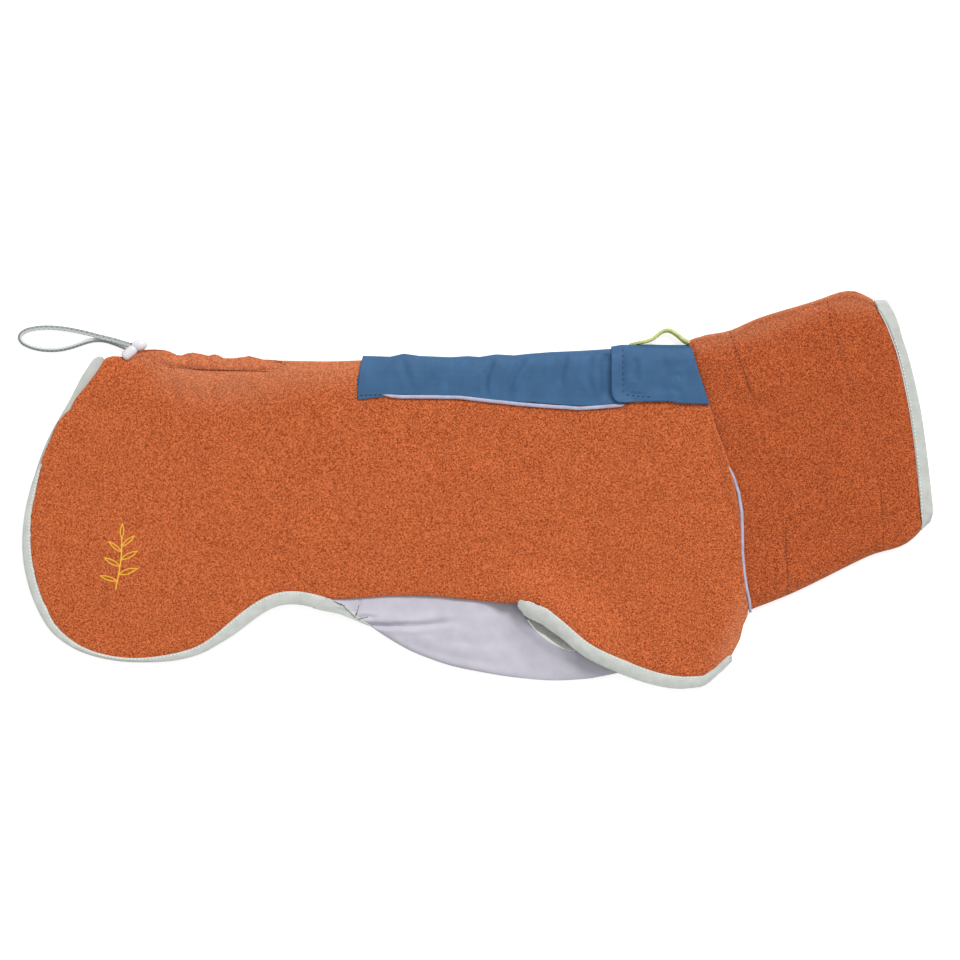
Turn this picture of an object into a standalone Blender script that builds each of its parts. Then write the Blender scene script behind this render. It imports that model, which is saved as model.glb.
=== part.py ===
"""A dog's fleece sweater with a turtleneck collar, laid flat on one side.

It lies on z = 0 with the collar toward +X and the back seam toward +Y. The lower layer is the
wearer's far side and the upper layer its near side. The two layers meet at the folds along the
back and down the chest, and the belly panel lies folded between them. Tables and constants are
in millimetres, and the meshes are in metres.
"""
import math

import bmesh
import bpy
from mathutils import Vector

MM = 0.001

# Cloth and tape walls, and the gap that neighbouring pieces keep.
FLEECE = 2.6
COLLAR_FLEECE = 3.0
SHELL = 0.7
STRETCH = 0.7
TAPE = 0.7
GAP = 0.3
SADDLE_GAP = 0.5
MOUTH_GAP = 1.2

# How the layers lie: heights above the surface, and how far in from a fold they lie flat.
LAID_TOP = 8.7
COLLAR_TOP = 9.2
MIDDLE = 4.35
COLLAR_MIDDLE = 4.6
FOLD_REACH = 11.0
BELLY_FOLD_REACH = 6.0
LOBE_RISE = 0.9
BACK_LIFT = 2.3
FOLD_STEPS = (0.0, 2.0, 6.0, FOLD_REACH)
BACK_STEPS = FOLD_STEPS + (46.0,)

# Meshing: how many columns and rows each cloth has.
SIDE_COLUMNS = 46
SIDE_ROWS = 6
COLLAR_COLUMNS = 11
COLLAR_ROWS = 6
BELLY_COLUMNS = 26
BACK_COLUMNS = 16
TAB_COLUMNS = 5
CASING_COLUMNS = 18

# Fleece fold along the back, tail to collar.
SPINE = [  # x, y
    (-279.0, 98.6), (-273.0, 100.4), (-267.0, 98.2), (-262.0, 97.9), (-250.0, 99.8),
    (-236.0, 101.0), (-221.0, 100.2), (-205.0, 99.2), (-171.0, 98.2), (-109.0, 97.0),
    (-85.0, 97.9), (-28.0, 99.0), (25.0, 100.1), (76.0, 102.4), (110.0, 105.2), (159.6, 107.0),
]

# Cut edge of the fleece round the rump flap, from the tail end of the back to its low corner.
RUMP_EDGE = [  # x, y
    (-279.0, 98.6), (-294.0, 78.0), (-305.0, 61.0), (-318.0, 43.0), (-326.0, 23.0),
    (-333.5, -5.0), (-336.8, -30.0), (-334.5, -56.0), (-329.0, -78.0), (-318.5, -100.0),
]

# Cut edge of the fleece from that corner, over the loin, to the belly seam.
LOIN_EDGE = [  # x, y
    (-318.5, -100.0), (-310.0, -109.2), (-296.0, -118.6), (-280.0, -124.0), (-258.0, -126.8),
    (-232.0, -124.2), (-207.0, -117.0), (-189.0, -103.0), (-168.0, -86.0), (-152.0, -77.8),
    (-138.0, -76.0), (-123.0, -78.2), (-112.0, -81.4),
]

# Seam of the fleece to the belly panel.
BELLY_SEAM = [  # x, y
    (-112.0, -81.4), (-90.0, -80.8), (-62.0, -78.8), (-30.0, -79.3), (4.0, -83.0), (29.0, -84.6),
]

# Cut edge of the shoulder lobe round the foreleg, to the foot of the chest fold.
LOBE_EDGE = [  # x, y
    (37.0, -80.8), (49.0, -86.8), (67.0, -101.3), (84.0, -116.0), (108.0, -127.2),
    (130.0, -136.0), (147.0, -140.0), (165.0, -140.6), (176.0, -136.0), (189.0, -125.3),
]

# Seam of the side to the collar; the room beside it on each side holds the piping.
COLLAR_SEAM = [  # x, y, room
    (160.0, 107.0, 0.15), (165.5, 92.0, 0.15), (169.5, 80.0, 0.15), (174.5, 64.0, 0.15),
    (181.0, 46.0, 0.15), (186.5, 24.0, 2.3), (193.0, 5.0, 2.3), (197.3, -17.0, 2.3),
    (198.6, -38.0, 2.3), (200.5, -58.0, 2.3), (204.0, -76.0, 2.3), (205.5, -90.0, 2.3),
]

# Fold down the front of the chest, from the collar seam to the foot of the lobe.
CHEST = [  # x, y
    (203.5, -90.5), (201.5, -99.0), (196.5, -111.0), (189.0, -125.3),
]

# Binding of the hem: how wide it shows past the fleece, by share of the way from the back.
HEM_BINDING = [  # share, near, far
    (0.00, 1.4, 6.6), (0.10, 1.4, 6.6), (0.17, 2.0, 2.4), (0.27, 3.8, 3.2), (0.34, 6.0, 5.4),
    (0.46, 5.8, 5.2), (0.52, 3.4, 2.8), (0.58, 2.0, 1.5), (0.65, 2.0, 1.5), (0.70, 4.1, 3.6),
    (0.77, 5.4, 4.9), (0.82, 8.6, 8.0), (1.00, 8.6, 8.0),
]

# Binding of the shoulder lobe, by share of the way from the belly seam.
LOBE_BINDING = [  # share, width
    (0.0, 7.6), (0.1, 8.8), (0.5, 9.4), (0.75, 8.4), (0.92, 7.4), (1.0, 2.0),
]

# Sections of the belly panel from its seam or foreleg edge to its fold: tail end first. Top and
# low are the heights of its upper and lower face at the edge, crown and floor those by the fold.
BELLY_SECTIONS = [  # edge x, edge y, fold x, fold y, top, low, crown, floor
    (-108.0, -77.0, -81.0, -101.0, 5.7, 3.6, 6.6, 0.0),
    (-90.0, -76.0, -70.9, -108.4, 5.7, 3.6, 7.0, 0.0),
    (-62.0, -74.0, -50.0, -121.0, 5.7, 3.6, 7.2, 0.0),
    (-28.0, -74.5, -20.0, -132.2, 5.7, 3.6, 7.2, 0.0),
    (10.0, -79.0, 20.0, -139.6, 5.7, 3.6, 7.0, 0.0),
    (30.0, -80.5, 42.0, -142.0, 5.8, 4.0, 6.4, 0.0),
    (38.0, -98.6, 54.0, -142.8, 6.0, 4.3, 6.0, 0.0),
    (46.0, -107.8, 64.0, -142.8, 6.0, 4.3, 6.0, 0.0),
    (55.0, -114.0, 74.0, -142.2, 6.0, 4.3, 6.0, 0.0),
    (64.0, -119.2, 84.0, -141.2, 6.0, 4.3, 6.0, 2.6),
    (76.0, -121.6, 94.0, -139.4, 6.0, 4.3, 6.0, 4.3),
    (100.0, -122.5, 110.0, -136.0, 6.0, 4.3, 6.0, 4.3),
    (136.0, -121.0, 140.0, -134.0, 6.0, 4.3, 6.0, 4.3),
    (168.0, -112.0, 172.0, -124.0, 6.0, 4.3, 6.0, 4.3),
]
STRIP_START = 6
STRIP_BINDING_WIDTH = 7.0

# Outline of the collar: back fold, throat fold and mouth.
COLLAR_BACK = [  # x, y
    (160.3, 109.5), (167.0, 115.2), (188.0, 118.8), (208.0, 128.6), (232.0, 136.0),
    (254.0, 142.4), (270.0, 148.4), (281.5, 149.0), (289.5, 146.8), (296.8, 143.2),
]
COLLAR_THROAT = [  # x, y
    (207.4, -90.2), (221.0, -83.0), (234.0, -78.4), (260.0, -65.8), (284.0, -53.8),
    (300.0, -46.4), (316.5, -43.2), (326.5, -38.0), (332.2, -31.0),
]
COLLAR_MOUTH = [  # x, y
    (296.8, 143.2), (306.0, 122.5), (313.5, 99.0), (320.8, 73.8), (325.4, 49.0),
    (329.5, 20.0), (332.0, -7.0), (333.6, -20.0), (332.2, -31.0),
]
NECK_BINDING = [  # x, y of its outer edge
    (305.6, 142.6), (314.5, 122.0), (322.2, 99.0), (329.6, 73.8), (334.4, 49.0),
    (338.4, 20.0), (341.2, -7.0), (342.4, -16.0), (340.0, -24.0),
]

# Back panel: its slanted ends, and how far it reaches down from the back.
BACK_PANEL_START = -84.6
BACK_PANEL_START_LEAN = -0.147
BACK_PANEL_REACH = [  # x, reach
    (-90.0, 31.0), (-30.0, 31.0), (25.0, 35.0), (70.0, 40.0), (110.0, 42.5), (175.0, 43.5),
]
BACK_TAB_START = 100.8
BACK_TAB_REACH = 41.5
COLLAR_END_LEAN = 0.325
BACK_PIPING_START = -70.0
BACK_PIPING_END = 108.0
PIPING_HALF_WIDTH = 1.5

# Drawcord casing along the back: how far it stands past the fleece fold.
CASING = [  # x, rise
    (-249.0, 4.4), (-240.0, 4.6), (-229.0, 3.6), (-222.0, 1.6), (-213.0, 4.0), (-204.0, 2.4),
    (-197.0, 3.4), (-187.0, 1.4), (-177.0, 1.5), (-170.0, 2.6), (-158.0, 1.5), (-146.0, 1.2),
]
CASING_REACH = 8.5
CASING_WALL = 0.9

# Drawcord: the free loop from the cord lock out past the tail and back.
CORD_DIAMETER = 3.2
CORD_ROUTE = [  # x, y, z
    (-264.2, 110.1, 4.6), (-271.2, 112.5, 4.6), (-283.3, 115.5, 4.6), (-293.3, 118.2, 3.8),
    (-303.4, 120.2, 2.4), (-312.8, 121.6, 1.8), (-323.5, 122.3, 1.7), (-331.5, 121.4, 1.7),
    (-338.2, 119.2, 1.7), (-341.2, 115.9, 1.7), (-340.2, 112.2, 1.7), (-336.4, 109.5, 1.7),
    (-330.2, 106.9, 1.7), (-321.5, 105.7, 1.7), (-312.8, 106.1, 1.7), (-304.7, 107.9, 1.7),
    (-297.4, 110.3, 1.7), (-291.3, 112.2, 1.7), (-286.0, 113.2, 1.7), (-279.9, 112.9, 1.7),
    (-273.2, 111.0, 1.8), (-266.6, 107.9, 2.8),
]
CORD_POINTS = 44

# Cord lock: a moulded barrel beside the back fold, with its button at the collar end.
BARREL_TAIL = (-267.2, 101.2, 3.8)
BARREL_HEAD = (-259.2, 107.8, 3.8)
BARREL_RADIUS = 3.5
BUTTON_CENTRE = (-252.6, 109.7, 4.0)
BUTTON_HALF_LENGTH = 5.2
BUTTON_RADIUS = 3.6
BUTTON_TILT = math.radians(12.0)

# Hanging loop of tape standing off the back at the withers.
LOOP_PATH = [  # x, y
    (112.0, 110.3), (120.0, 111.0), (126.8, 111.9), (132.8, 114.3), (138.0, 118.3),
    (142.2, 120.0), (145.6, 119.4), (149.8, 116.6), (154.6, 112.4), (158.6, 110.7),
]
LOOP_HALF_THICKNESS = 1.0
LOOP_LOW = 1.4
LOOP_HIGH = 7.4

# Finishes: linear red, green and blue, and roughness.
FINISHES = {
    "fleece": ((0.50, 0.118, 0.045), 0.95),
    "shell_fabric": ((0.062, 0.150, 0.292), 0.65),
    "stretch_fabric": ((0.578, 0.552, 0.631), 0.70),
    "binding_tape": ((0.597, 0.658, 0.610), 0.75),
    "dark_tape": ((0.36, 0.39, 0.37), 0.80),
    "piping": ((0.50, 0.49, 0.66), 0.60),
    "cord_sheath": ((0.52, 0.55, 0.54), 0.55),
    "moulded_plastic": ((0.74, 0.71, 0.82), 0.35),
    "loop_tape": ((0.624, 0.745, 0.195), 0.70),
}


def clear_scene():
    """Empties the scene of its objects."""
    for thing in list(bpy.data.objects):
        bpy.data.objects.remove(thing)


def mix(low, high, share):
    """The value that share of the way from low to high."""
    return low + (high - low) * share


def ramp(value, start, end):
    """0 before start, 1 after end, and a smooth rise between."""
    share = min(max((value - start) / (end - start), 0.0), 1.0)
    return share * share * (3.0 - 2.0 * share)


class Line:
    """A smooth curve through points, read by the share of its length."""

    def __init__(self, points):
        self.points = [Vector(point) for point in points]
        self.along = [0.0]
        for start, end in zip(self.points, self.points[1:]):
            self.along.append(self.along[-1] + (end - start).length)
        self.length = self.along[-1]
        last = len(self.points) - 1
        self.slopes = []
        for index in range(last + 1):
            before, after = max(index - 1, 0), min(index + 1, last)
            run = self.along[after] - self.along[before]
            self.slopes.append((self.points[after] - self.points[before]) / run)

    def at(self, share):
        """The point at that share of the length."""
        place = min(max(share, 0.0), 1.0) * self.length
        leg = 0
        while leg < len(self.points) - 2 and self.along[leg + 1] < place:
            leg += 1
        span = self.along[leg + 1] - self.along[leg]
        t = (place - self.along[leg]) / span
        start, end = self.points[leg], self.points[leg + 1]
        rise = t * t * (3.0 - 2.0 * t)
        leave = t * (1.0 - t) * (1.0 - t) * span
        arrive = t * t * (t - 1.0) * span
        bend = self.slopes[leg] * leave + self.slopes[leg + 1] * arrive
        return start * (1.0 - rise) + end * rise + bend

    def samples(self, count):
        """Evenly spaced points, both ends included."""
        return [self.at(index / count) for index in range(count + 1)]


def read(table, key, column):
    """A column of a table, read smoothly between its rows by the first column."""
    if key <= table[0][0]:
        return table[0][column]
    for low, high in zip(table, table[1:]):
        if key <= high[0]:
            return mix(low[column], high[column], ramp(key, low[0], high[0]))
    return table[-1][column]


def spine_height(x):
    """Y of the back fold at x."""
    return BACK_LINE.at(back_share(x)).y


def back_share(x):
    """The share of the back fold's length at which it passes x."""
    low, high = 0.0, 1.0
    for _ in range(24):
        middle = (low + high) / 2.0
        if BACK_LINE.at(middle).x < x:
            low = middle
        else:
            high = middle
    return (low + high) / 2.0


def seam_line(side):
    """The edge beside the collar seam: side -1 is the body's, +1 the collar's."""
    return Line([(x + side * room, y) for x, y, room in COLLAR_SEAM])


BACK_LINE = Line(SPINE)
BODY_FOLDS = [BACK_LINE.samples(120), Line(CHEST).samples(16)]
COLLAR_FOLDS = [
    Line(COLLAR_BACK + NECK_BINDING[:1]).samples(50),
    Line(NECK_BINDING[-1:] + COLLAR_THROAT[::-1]).samples(50),
]


def nearest(point, fold):
    """Distance from a point to a sampled fold, and the direction inward from it, to its right."""
    best, inward = 1.0e9, Vector((0.0, -1.0))
    for start, end in zip(fold, fold[1:]):
        leg = end - start
        share = min(max((point - start).dot(leg) / leg.length_squared, 0.0), 1.0)
        distance = (point - start - leg * share).length
        if distance < best:
            best = distance
            inward = Vector((leg.y, -leg.x)).normalized()
    return best, inward


def turn(place, folds, reach=FOLD_REACH):
    """How cloth turns near folds: the way in, by the cosine of its slope, and its rise, 0 to 1."""
    lean, rise = Vector((0.0, 0.0)), 1.0
    for fold in folds:
        distance, inward = nearest(place, fold)
        cosine = max(0.0, 1.0 - distance / reach)
        lean += inward * cosine
        rise *= math.sqrt(1.0 - cosine * cosine)
    return lean, rise


def laid_point(place, depth, face, middle, seam, folds, shift=None):
    """A point of a layer, depth below its face, which lies at height face away from folds.
    Where cloth turns it also moves in by its depth, or by the shift where one is given."""
    lean, rise = turn(place, folds)
    side = 1.0 if face > middle else -1.0
    reach = abs(face - middle) - seam - depth
    inset = place + lean * (depth if shift is None else shift)
    return Vector((inset.x, inset.y, middle + side * (seam + reach * rise)))


def near_top(place):
    """Height of the upper layer's face: the shoulder lobes lie over the belly panel."""
    return LAID_TOP + LOBE_RISE * ramp(place.x, 10.0, 35.0) * ramp(-place.y, 55.0, 80.0)


def near_point(place, depth):
    """A point of the upper layer, depth below its outer face."""
    return laid_point(place, depth, near_top(place), MIDDLE, GAP / 2.0, BODY_FOLDS)


def far_point(place, depth, lift):
    """A point of the lower layer, depth inside its outer face, which is lifted off the surface."""
    return laid_point(place, depth, lift, MIDDLE, GAP / 2.0, BODY_FOLDS)


def back_lift(place):
    """How far the lower layer is lifted by the back panel's wing under it."""
    inset = spine_height(place.x) - place.y
    return BACK_LIFT * ramp(place.x, -112.0, -98.0) * (1.0 - ramp(inset, 48.0, 62.0))


def body_edges():
    """The four edges of a side: back fold, cut front, lower edge and cut rump."""
    front = Line([tuple(p) for p in seam_line(-1.0).samples(14)] + CHEST[1:])
    lower = Line(LOIN_EDGE + BELLY_SEAM[1:] + LOBE_EDGE)
    return BACK_LINE, front, lower, Line(RUMP_EDGE)


def patch(top, front, lower, rear, across, down):
    """The place on a panel between four edges, at shares across from the rear and down."""
    high, low = top.at(across), lower.at(across)
    back, fore = rear.at(down), front.at(down)
    corners = (
        rear.at(0.0) * (1.0 - across) * (1.0 - down) + front.at(0.0) * across * (1.0 - down)
        + rear.at(1.0) * (1.0 - across) * down + front.at(1.0) * across * down
    )
    blend = high * (1.0 - down) + low * down + back * (1.0 - across) + fore * across
    return blend - corners


def fold_rows(depth, rows, steps, both=False):
    """Shares down a panel of that depth: at set steps from its fold, then even."""
    close = [step / depth for step in steps]
    end = 1.0 - close[-1] if both else 1.0
    shares = close[:-1] + [mix(close[-1], end, index / rows) for index in range(rows + 1)]
    if both:
        shares += [1.0 - share for share in close[-2::-1]]
    return shares


def side_places():
    """Places of a side's grid, by column from the tail and row from the back."""
    top, front, lower, rear = body_edges()
    columns = []
    for index in range(SIDE_COLUMNS + 1):
        across = index / SIDE_COLUMNS
        depth = (lower.at(across) - top.at(across)).length
        shares = fold_rows(depth, SIDE_ROWS, BACK_STEPS)
        column = [patch(top, front, lower, rear, across, down) for down in shares]
        for place, step in zip(column, BACK_STEPS):
            place.y = spine_height(place.x) - step
        columns.append(column)
    return columns


def finish(name):
    """The material of that name, made once."""
    if name in bpy.data.materials:
        return bpy.data.materials[name]
    colour, roughness = FINISHES[name]
    material = bpy.data.materials.new(name)
    material.use_nodes = True
    shader = material.node_tree.nodes["Principled BSDF"]
    shader.inputs["Base Color"].default_value = (*colour, 1.0)
    shader.inputs["Roughness"].default_value = roughness
    shader.inputs["Metallic"].default_value = 0.0
    return material


def own_finish(node, name):
    """A copy of a finish for one node."""
    material = finish(name).copy()
    material.name = f"{node}_{name}"
    return material


def add_object(node, mesh, finish_name):
    """Links a mesh as the node's object, shaded smooth but for its edges."""
    mesh.materials.append(own_finish(node, finish_name))
    mesh.shade_smooth()
    mesh.set_sharp_from_angle(angle=math.radians(40.0))
    thing = bpy.data.objects.new(node, mesh)
    bpy.context.scene.collection.objects.link(thing)
    return thing


def loft(node, rings, finish_name, wrap=False):
    """A closed solid through rings of points. Its open ends are closed by a ladder of faces."""
    shape = bmesh.new()
    loops = [[shape.verts.new(Vector(point) * MM) for point in ring] for ring in rings]
    count = len(loops[0])
    pairs = list(zip(loops, loops[1:]))
    if wrap:
        pairs.append((loops[-1], loops[0]))
    for one, two in pairs:
        for index in range(count):
            after = (index + 1) % count
            shape.faces.new((one[index], one[after], two[after], two[index]))
    if not wrap:
        for end in (loops[0], loops[-1]):
            for index in range(count // 2 - 1):
                far = count - 1 - index
                shape.faces.new((end[index], end[index + 1], end[far - 1], end[far]))
    bmesh.ops.recalc_face_normals(shape, faces=shape.faces)
    mesh = bpy.data.meshes.new(node)
    shape.to_mesh(mesh)
    shape.free()
    return add_object(node, mesh, finish_name)


def wall_ring(outer, inner):
    """The ring round a cloth's cut section: out along one face and back along the other."""
    return list(outer) + list(inner)[::-1]


def outward(path):
    """Unit vectors to the right of a path of places, even at its bends."""
    ways = []
    for index in range(len(path)):
        before = path[max(index - 1, 0)]
        after = path[min(index + 1, len(path) - 1)]
        along = (after - before).normalized()
        ways.append(Vector((along.y, -along.x)))
    return ways


def band(node, path, widths, heights, finish_name):
    """A folded tape along a path: its width stands to the path's right, its far edge rounded."""
    rings = []
    for place, way, width, (low, high) in zip(path, outward(path), widths, heights):
        start = place + way * GAP
        shoulder = place + way * (GAP + 0.6 * width)
        edge = place + way * (GAP + width)
        rings.append([
            (start.x, start.y, low), (start.x, start.y, high),
            (shoulder.x, shoulder.y, high), (edge.x, edge.y, mix(low, high, 0.72)),
            (edge.x, edge.y, mix(low, high, 0.28)), (shoulder.x, shoulder.y, low),
        ])
    return loft(node, rings, finish_name)


def make_sides(places):
    """The two fleece sides: walls that turn down to the middle at the back and chest folds."""
    near, far = [], []
    for index, column in enumerate(places):
        across = index / SIDE_COLUMNS
        outer = [near_point(place, 0.0) for place in column]
        inner = [near_point(place, FLEECE) for place in column]
        near.append(wall_ring(outer, inner))
        lifts = []
        for row, place in enumerate(column):
            hem = max(ramp(row, len(column) - 3, len(column) - 1), 1.0 - ramp(across, 0.0, 0.05))
            lobe = ramp(place.x, 10.0, 35.0) * ramp(-place.y, 45.0, 70.0)
            lifts.append(max(back_lift(place), TAPE * max(hem, lobe)))
        outer = [far_point(place, 0.0, lift) for place, lift in zip(column, lifts)]
        inner = [far_point(place, FLEECE, lift) for place, lift in zip(column, lifts)]
        far.append(wall_ring(outer, inner))
    loft("side_near", near, "fleece")
    loft("side_far", far, "fleece")


def cut_edge(places):
    """The side's cut edge, from the back round the rump, loin, belly seam and lobe."""
    return list(places[0]) + [column[-1] for column in places[1:]]


def tape_heights(path, far):
    """Low and high faces of the tape along a side's cut edge."""
    heights = []
    for place in path:
        if far:
            centre = far_point(place, FLEECE / 2.0, TAPE).z
        else:
            centre = near_point(place, FLEECE / 2.0).z
        half = FLEECE / 2.0 + TAPE
        heights.append((centre - half, centre + half))
    return heights


def shares_along(path):
    """The share of a path's length at each of its places."""
    along = [0.0]
    for start, end in zip(path, path[1:]):
        along.append(along[-1] + (end - start).length)
    return [length / along[-1] for length in along]


def make_hem_bindings(edge):
    """Folded tape round the rump flap and over the loin, to the belly seam."""
    path = [place for place in edge if place.x < -112.0]
    clear = [place for place in path if turn(place, BODY_FOLDS)[1] > 0.85]
    for node, column in (("hem_binding_near", 1), ("hem_binding_far", 2)):
        widths = [read(HEM_BINDING, share, column) for share in shares_along(clear)]
        band(node, clear, widths, tape_heights(clear, column == 2), "binding_tape")


def make_lobe_bindings(edge):
    """Folded tape round each shoulder lobe."""
    path = [place for place in edge if place.x > 34.0]
    clear = [place for place in path if turn(place, BODY_FOLDS)[1] > 0.6]
    widths = [read(LOBE_BINDING, share, 1) for share in shares_along(clear)]
    for node, far in (("armhole_binding_near", False), ("armhole_binding_far", True)):
        band(node, clear, widths, tape_heights(clear, far), "binding_tape")


def belly_section(share):
    """The belly panel's section that share of the way from its tail end, as one table row."""
    place = share * (len(BELLY_SECTIONS) - 1)
    index = min(int(place), len(BELLY_SECTIONS) - 2)
    part = place - index
    one, two = BELLY_SECTIONS[index], BELLY_SECTIONS[index + 1]
    return [mix(low, high, part) for low, high in zip(one, two)]


def belly_rows(row):
    """Places and heights down one section: upper face, lower face and nearness to the fold."""
    edge, fold = Vector(row[0:2]), Vector(row[2:4])
    top, low, crown, floor = row[4:]
    width = (fold - edge).length
    insets = [0.0, 7.0, mix(7.0, width - BELLY_FOLD_REACH, 0.45), width - BELLY_FOLD_REACH,
              width - 2.5, width - 0.6, width]
    steps = []
    for inset in insets:
        place = edge.lerp(fold, inset / width)
        clear = ramp(inset, 6.0, min(22.0, width - BELLY_FOLD_REACH + 0.5))
        upper, lower = mix(top, crown, clear), mix(low, floor, clear)
        cosine = max(0.0, 1.0 - (width - inset) / BELLY_FOLD_REACH)
        steps.append((place, (edge - fold).normalized(), upper, lower, cosine))
    return steps


def belly_point(step, side, depth):
    """A point of the belly panel: side 1 is its upper layer and -1 its lower one."""
    place, inward, upper, lower, cosine = step
    middle = (upper + lower) / 2.0
    half = (upper - lower) / 2.0
    rise = math.sqrt(1.0 - cosine * cosine)
    inset = place + inward * (cosine * depth)
    return Vector((inset.x, inset.y, middle + side * (half - depth) * rise))


def make_belly_panel():
    """The belly panel: one cloth folded on the belly line, from upper seam to lower seam."""
    rings = []
    for index in range(BELLY_COLUMNS + 1):
        steps = belly_rows(belly_section(index / BELLY_COLUMNS))
        faces = []
        for depth in (0.0, STRETCH):
            upper = [belly_point(step, 1.0, depth) for step in steps]
            lower = [belly_point(step, -1.0, depth) for step in steps[-2::-1]]
            faces.append(upper + lower)
        rings.append(wall_ring(faces[0], faces[1]))
    loft("belly_panel", rings, "stretch_fabric")


def make_belly_bindings():
    """Tape along the belly panel's rear edge, and thinner tape on its foreleg edges."""
    steps = belly_rows(belly_section(0.0))
    rear = [steps[index][0] for index in (1, 2, 3)]
    for node, side in (("belly_binding_near", 1.0), ("belly_binding_far", -1.0)):
        heights = []
        for index in (1, 2, 3):
            centre = belly_point(steps[index], side, STRETCH / 2.0).z
            spread = sorted((centre + side, centre - side * STRETCH / 2.0))
            heights.append((max(spread[0], 0.0), spread[1]))
        band(node, rear, (5.6, 4.4, 2.4), heights, "binding_tape")
    strip = [Vector(row[0:2]) for row in BELLY_SECTIONS[STRIP_START:]]
    widths = [STRIP_BINDING_WIDTH] * len(strip)
    for node, low in (("strip_binding_near", 5.25), ("strip_binding_far", 4.3)):
        band(node, strip[::-1], widths, [(low, low + STRETCH)] * len(strip), "dark_tape")


def collar_places():
    """Places of the collar's grid, by column from the seam and row from the back fold."""
    back, throat = Line(COLLAR_BACK), Line(COLLAR_THROAT)
    seam, mouth = seam_line(1.0), Line(COLLAR_MOUTH)
    seam = Line([COLLAR_BACK[0]] + [tuple(p) for p in seam.samples(12)[1:-1]]
                + [COLLAR_THROAT[0]])
    columns = []
    for index in range(COLLAR_COLUMNS + 1):
        across = index / COLLAR_COLUMNS
        depth = (throat.at(across) - back.at(across)).length
        shares = fold_rows(depth, COLLAR_ROWS, FOLD_STEPS, both=True)
        columns.append([patch(back, mouth, throat, seam, across, down) for down in shares])
    return columns


def sleeve(node, columns, lifts, top, wall, finish_name):
    """A flattened tube of cloth: upper and lower layers joined at two folds."""
    def layer(face_of, row, depth):
        return [
            laid_point(column[row], depth, face_of(lift), COLLAR_MIDDLE, 0.0, COLLAR_FOLDS)
            for column, lift in zip(columns, lifts)
        ]

    rows = len(columns[0])
    rings = []
    for row in range(rows):
        faces = [layer(lambda lift: top, row, depth) for depth in (0.0, wall)]
        rings.append(wall_ring(*faces))
    for row in range(rows - 2, 0, -1):
        faces = [layer(lambda lift: lift, row, depth) for depth in (0.0, wall)]
        rings.append(wall_ring(*faces))
    loft(node, rings, finish_name, wrap=True)


def make_collar():
    """The turtleneck tube and the folded tape round its mouth."""
    columns = collar_places()
    lifts = [TAPE * ramp(index, COLLAR_COLUMNS - 2, COLLAR_COLUMNS)
             for index in range(COLLAR_COLUMNS + 1)]
    sleeve("collar", columns, lifts, COLLAR_TOP, COLLAR_FLEECE, "fleece")
    mouth = columns[-1]
    outer = Line(NECK_BINDING)
    edge = [outer.at(share) for share in shares_along(mouth)]
    start = [place.lerp(end, MOUTH_GAP / (end - place).length) for place, end in zip(mouth, edge)]
    tape_sleeve([start, edge])


def tape_sleeve(edges):
    """The neck binding: a flattened ring of tape from the collar's mouth outward."""
    walls = ((-TAPE, 0.0), (COLLAR_FLEECE + TAPE, COLLAR_FLEECE))
    rows = len(edges[0])
    order = [(row, COLLAR_TOP) for row in range(rows)]
    order += [(row, TAPE) for row in range(rows - 2, 0, -1)]
    rings = []
    for row, face in order:
        faces = []
        for depth, shift in walls:
            faces.append([
                laid_point(edge[row], depth, face, COLLAR_MIDDLE, 0.0, COLLAR_FOLDS, shift)
                for edge in edges
            ])
        rings.append(wall_ring(*faces))
    loft("neck_binding", rings, "binding_tape", wrap=True)


def back_place(start, start_lean, across, inset):
    """A place on the back panel: share across from its start, and distance in from the fold."""
    low = start + start_lean * inset
    high = SPINE[-1][0] - 0.6 + COLLAR_END_LEAN * inset
    x = mix(low, high, across)
    return Vector((x, spine_height(x) - inset))


def saddle(node, start, start_lean, reach, offset, columns):
    """A cloth over the back fold, down both sides, made from the sides' points moved out."""
    rings = []
    for index in range(columns + 1):
        across = index / columns
        depth = reach(back_place(start, start_lean, across, 0.0).x)
        insets = [depth, mix(FOLD_REACH, depth, 0.5)] + list(FOLD_STEPS[::-1])
        places = [back_place(start, start_lean, across, inset) for inset in insets]
        faces = []
        for out in (-offset - SHELL, -offset):
            upper = [laid_point(place, out, near_top(place), MIDDLE, 0.0, BODY_FOLDS)
                     for place in places]
            lower = [laid_point(place, out, BACK_LIFT, MIDDLE, 0.0, BODY_FOLDS)
                     for place in places[-2::-1]]
            faces.append(upper + lower)
        rings.append(wall_ring(*faces))
    loft(node, rings, "shell_fabric")


def make_back():
    """The blue back panel, the tab over its collar end, and the piping under its edges."""
    saddle("back_panel", BACK_PANEL_START, BACK_PANEL_START_LEAN,
           lambda x: read(BACK_PANEL_REACH, x, 1), SADDLE_GAP, BACK_COLUMNS)
    saddle("back_tab", BACK_TAB_START, 0.0, lambda x: BACK_TAB_REACH,
           SADDLE_GAP + SHELL + GAP, TAB_COLUMNS)
    count = BACK_COLUMNS
    spots = [mix(BACK_PIPING_START, BACK_PIPING_END, index / count) for index in range(count + 1)]
    line = [Vector((x, spine_height(x) - read(BACK_PANEL_REACH, x, 1) - 2.4)) for x in spots]
    tube("back_piping_near", line, LAID_TOP + GAP + 1.2, 1.2)
    tube("back_piping_far", line, BACK_LIFT - GAP - 0.9, 0.9)


def tube(node, path, height, half_height):
    """Piping: a cord in a fabric sleeve, along a path at one height."""
    sides = 8
    rings = []
    for place, way in zip(path, outward(path)):
        ring = []
        for index in range(sides):
            angle = math.tau * (index + 0.5) / sides
            spot = place + way * (PIPING_HALF_WIDTH * math.cos(angle))
            ring.append((spot.x, spot.y, height + half_height * math.sin(angle)))
        rings.append(ring)
    return loft(node, rings, "piping")


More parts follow.
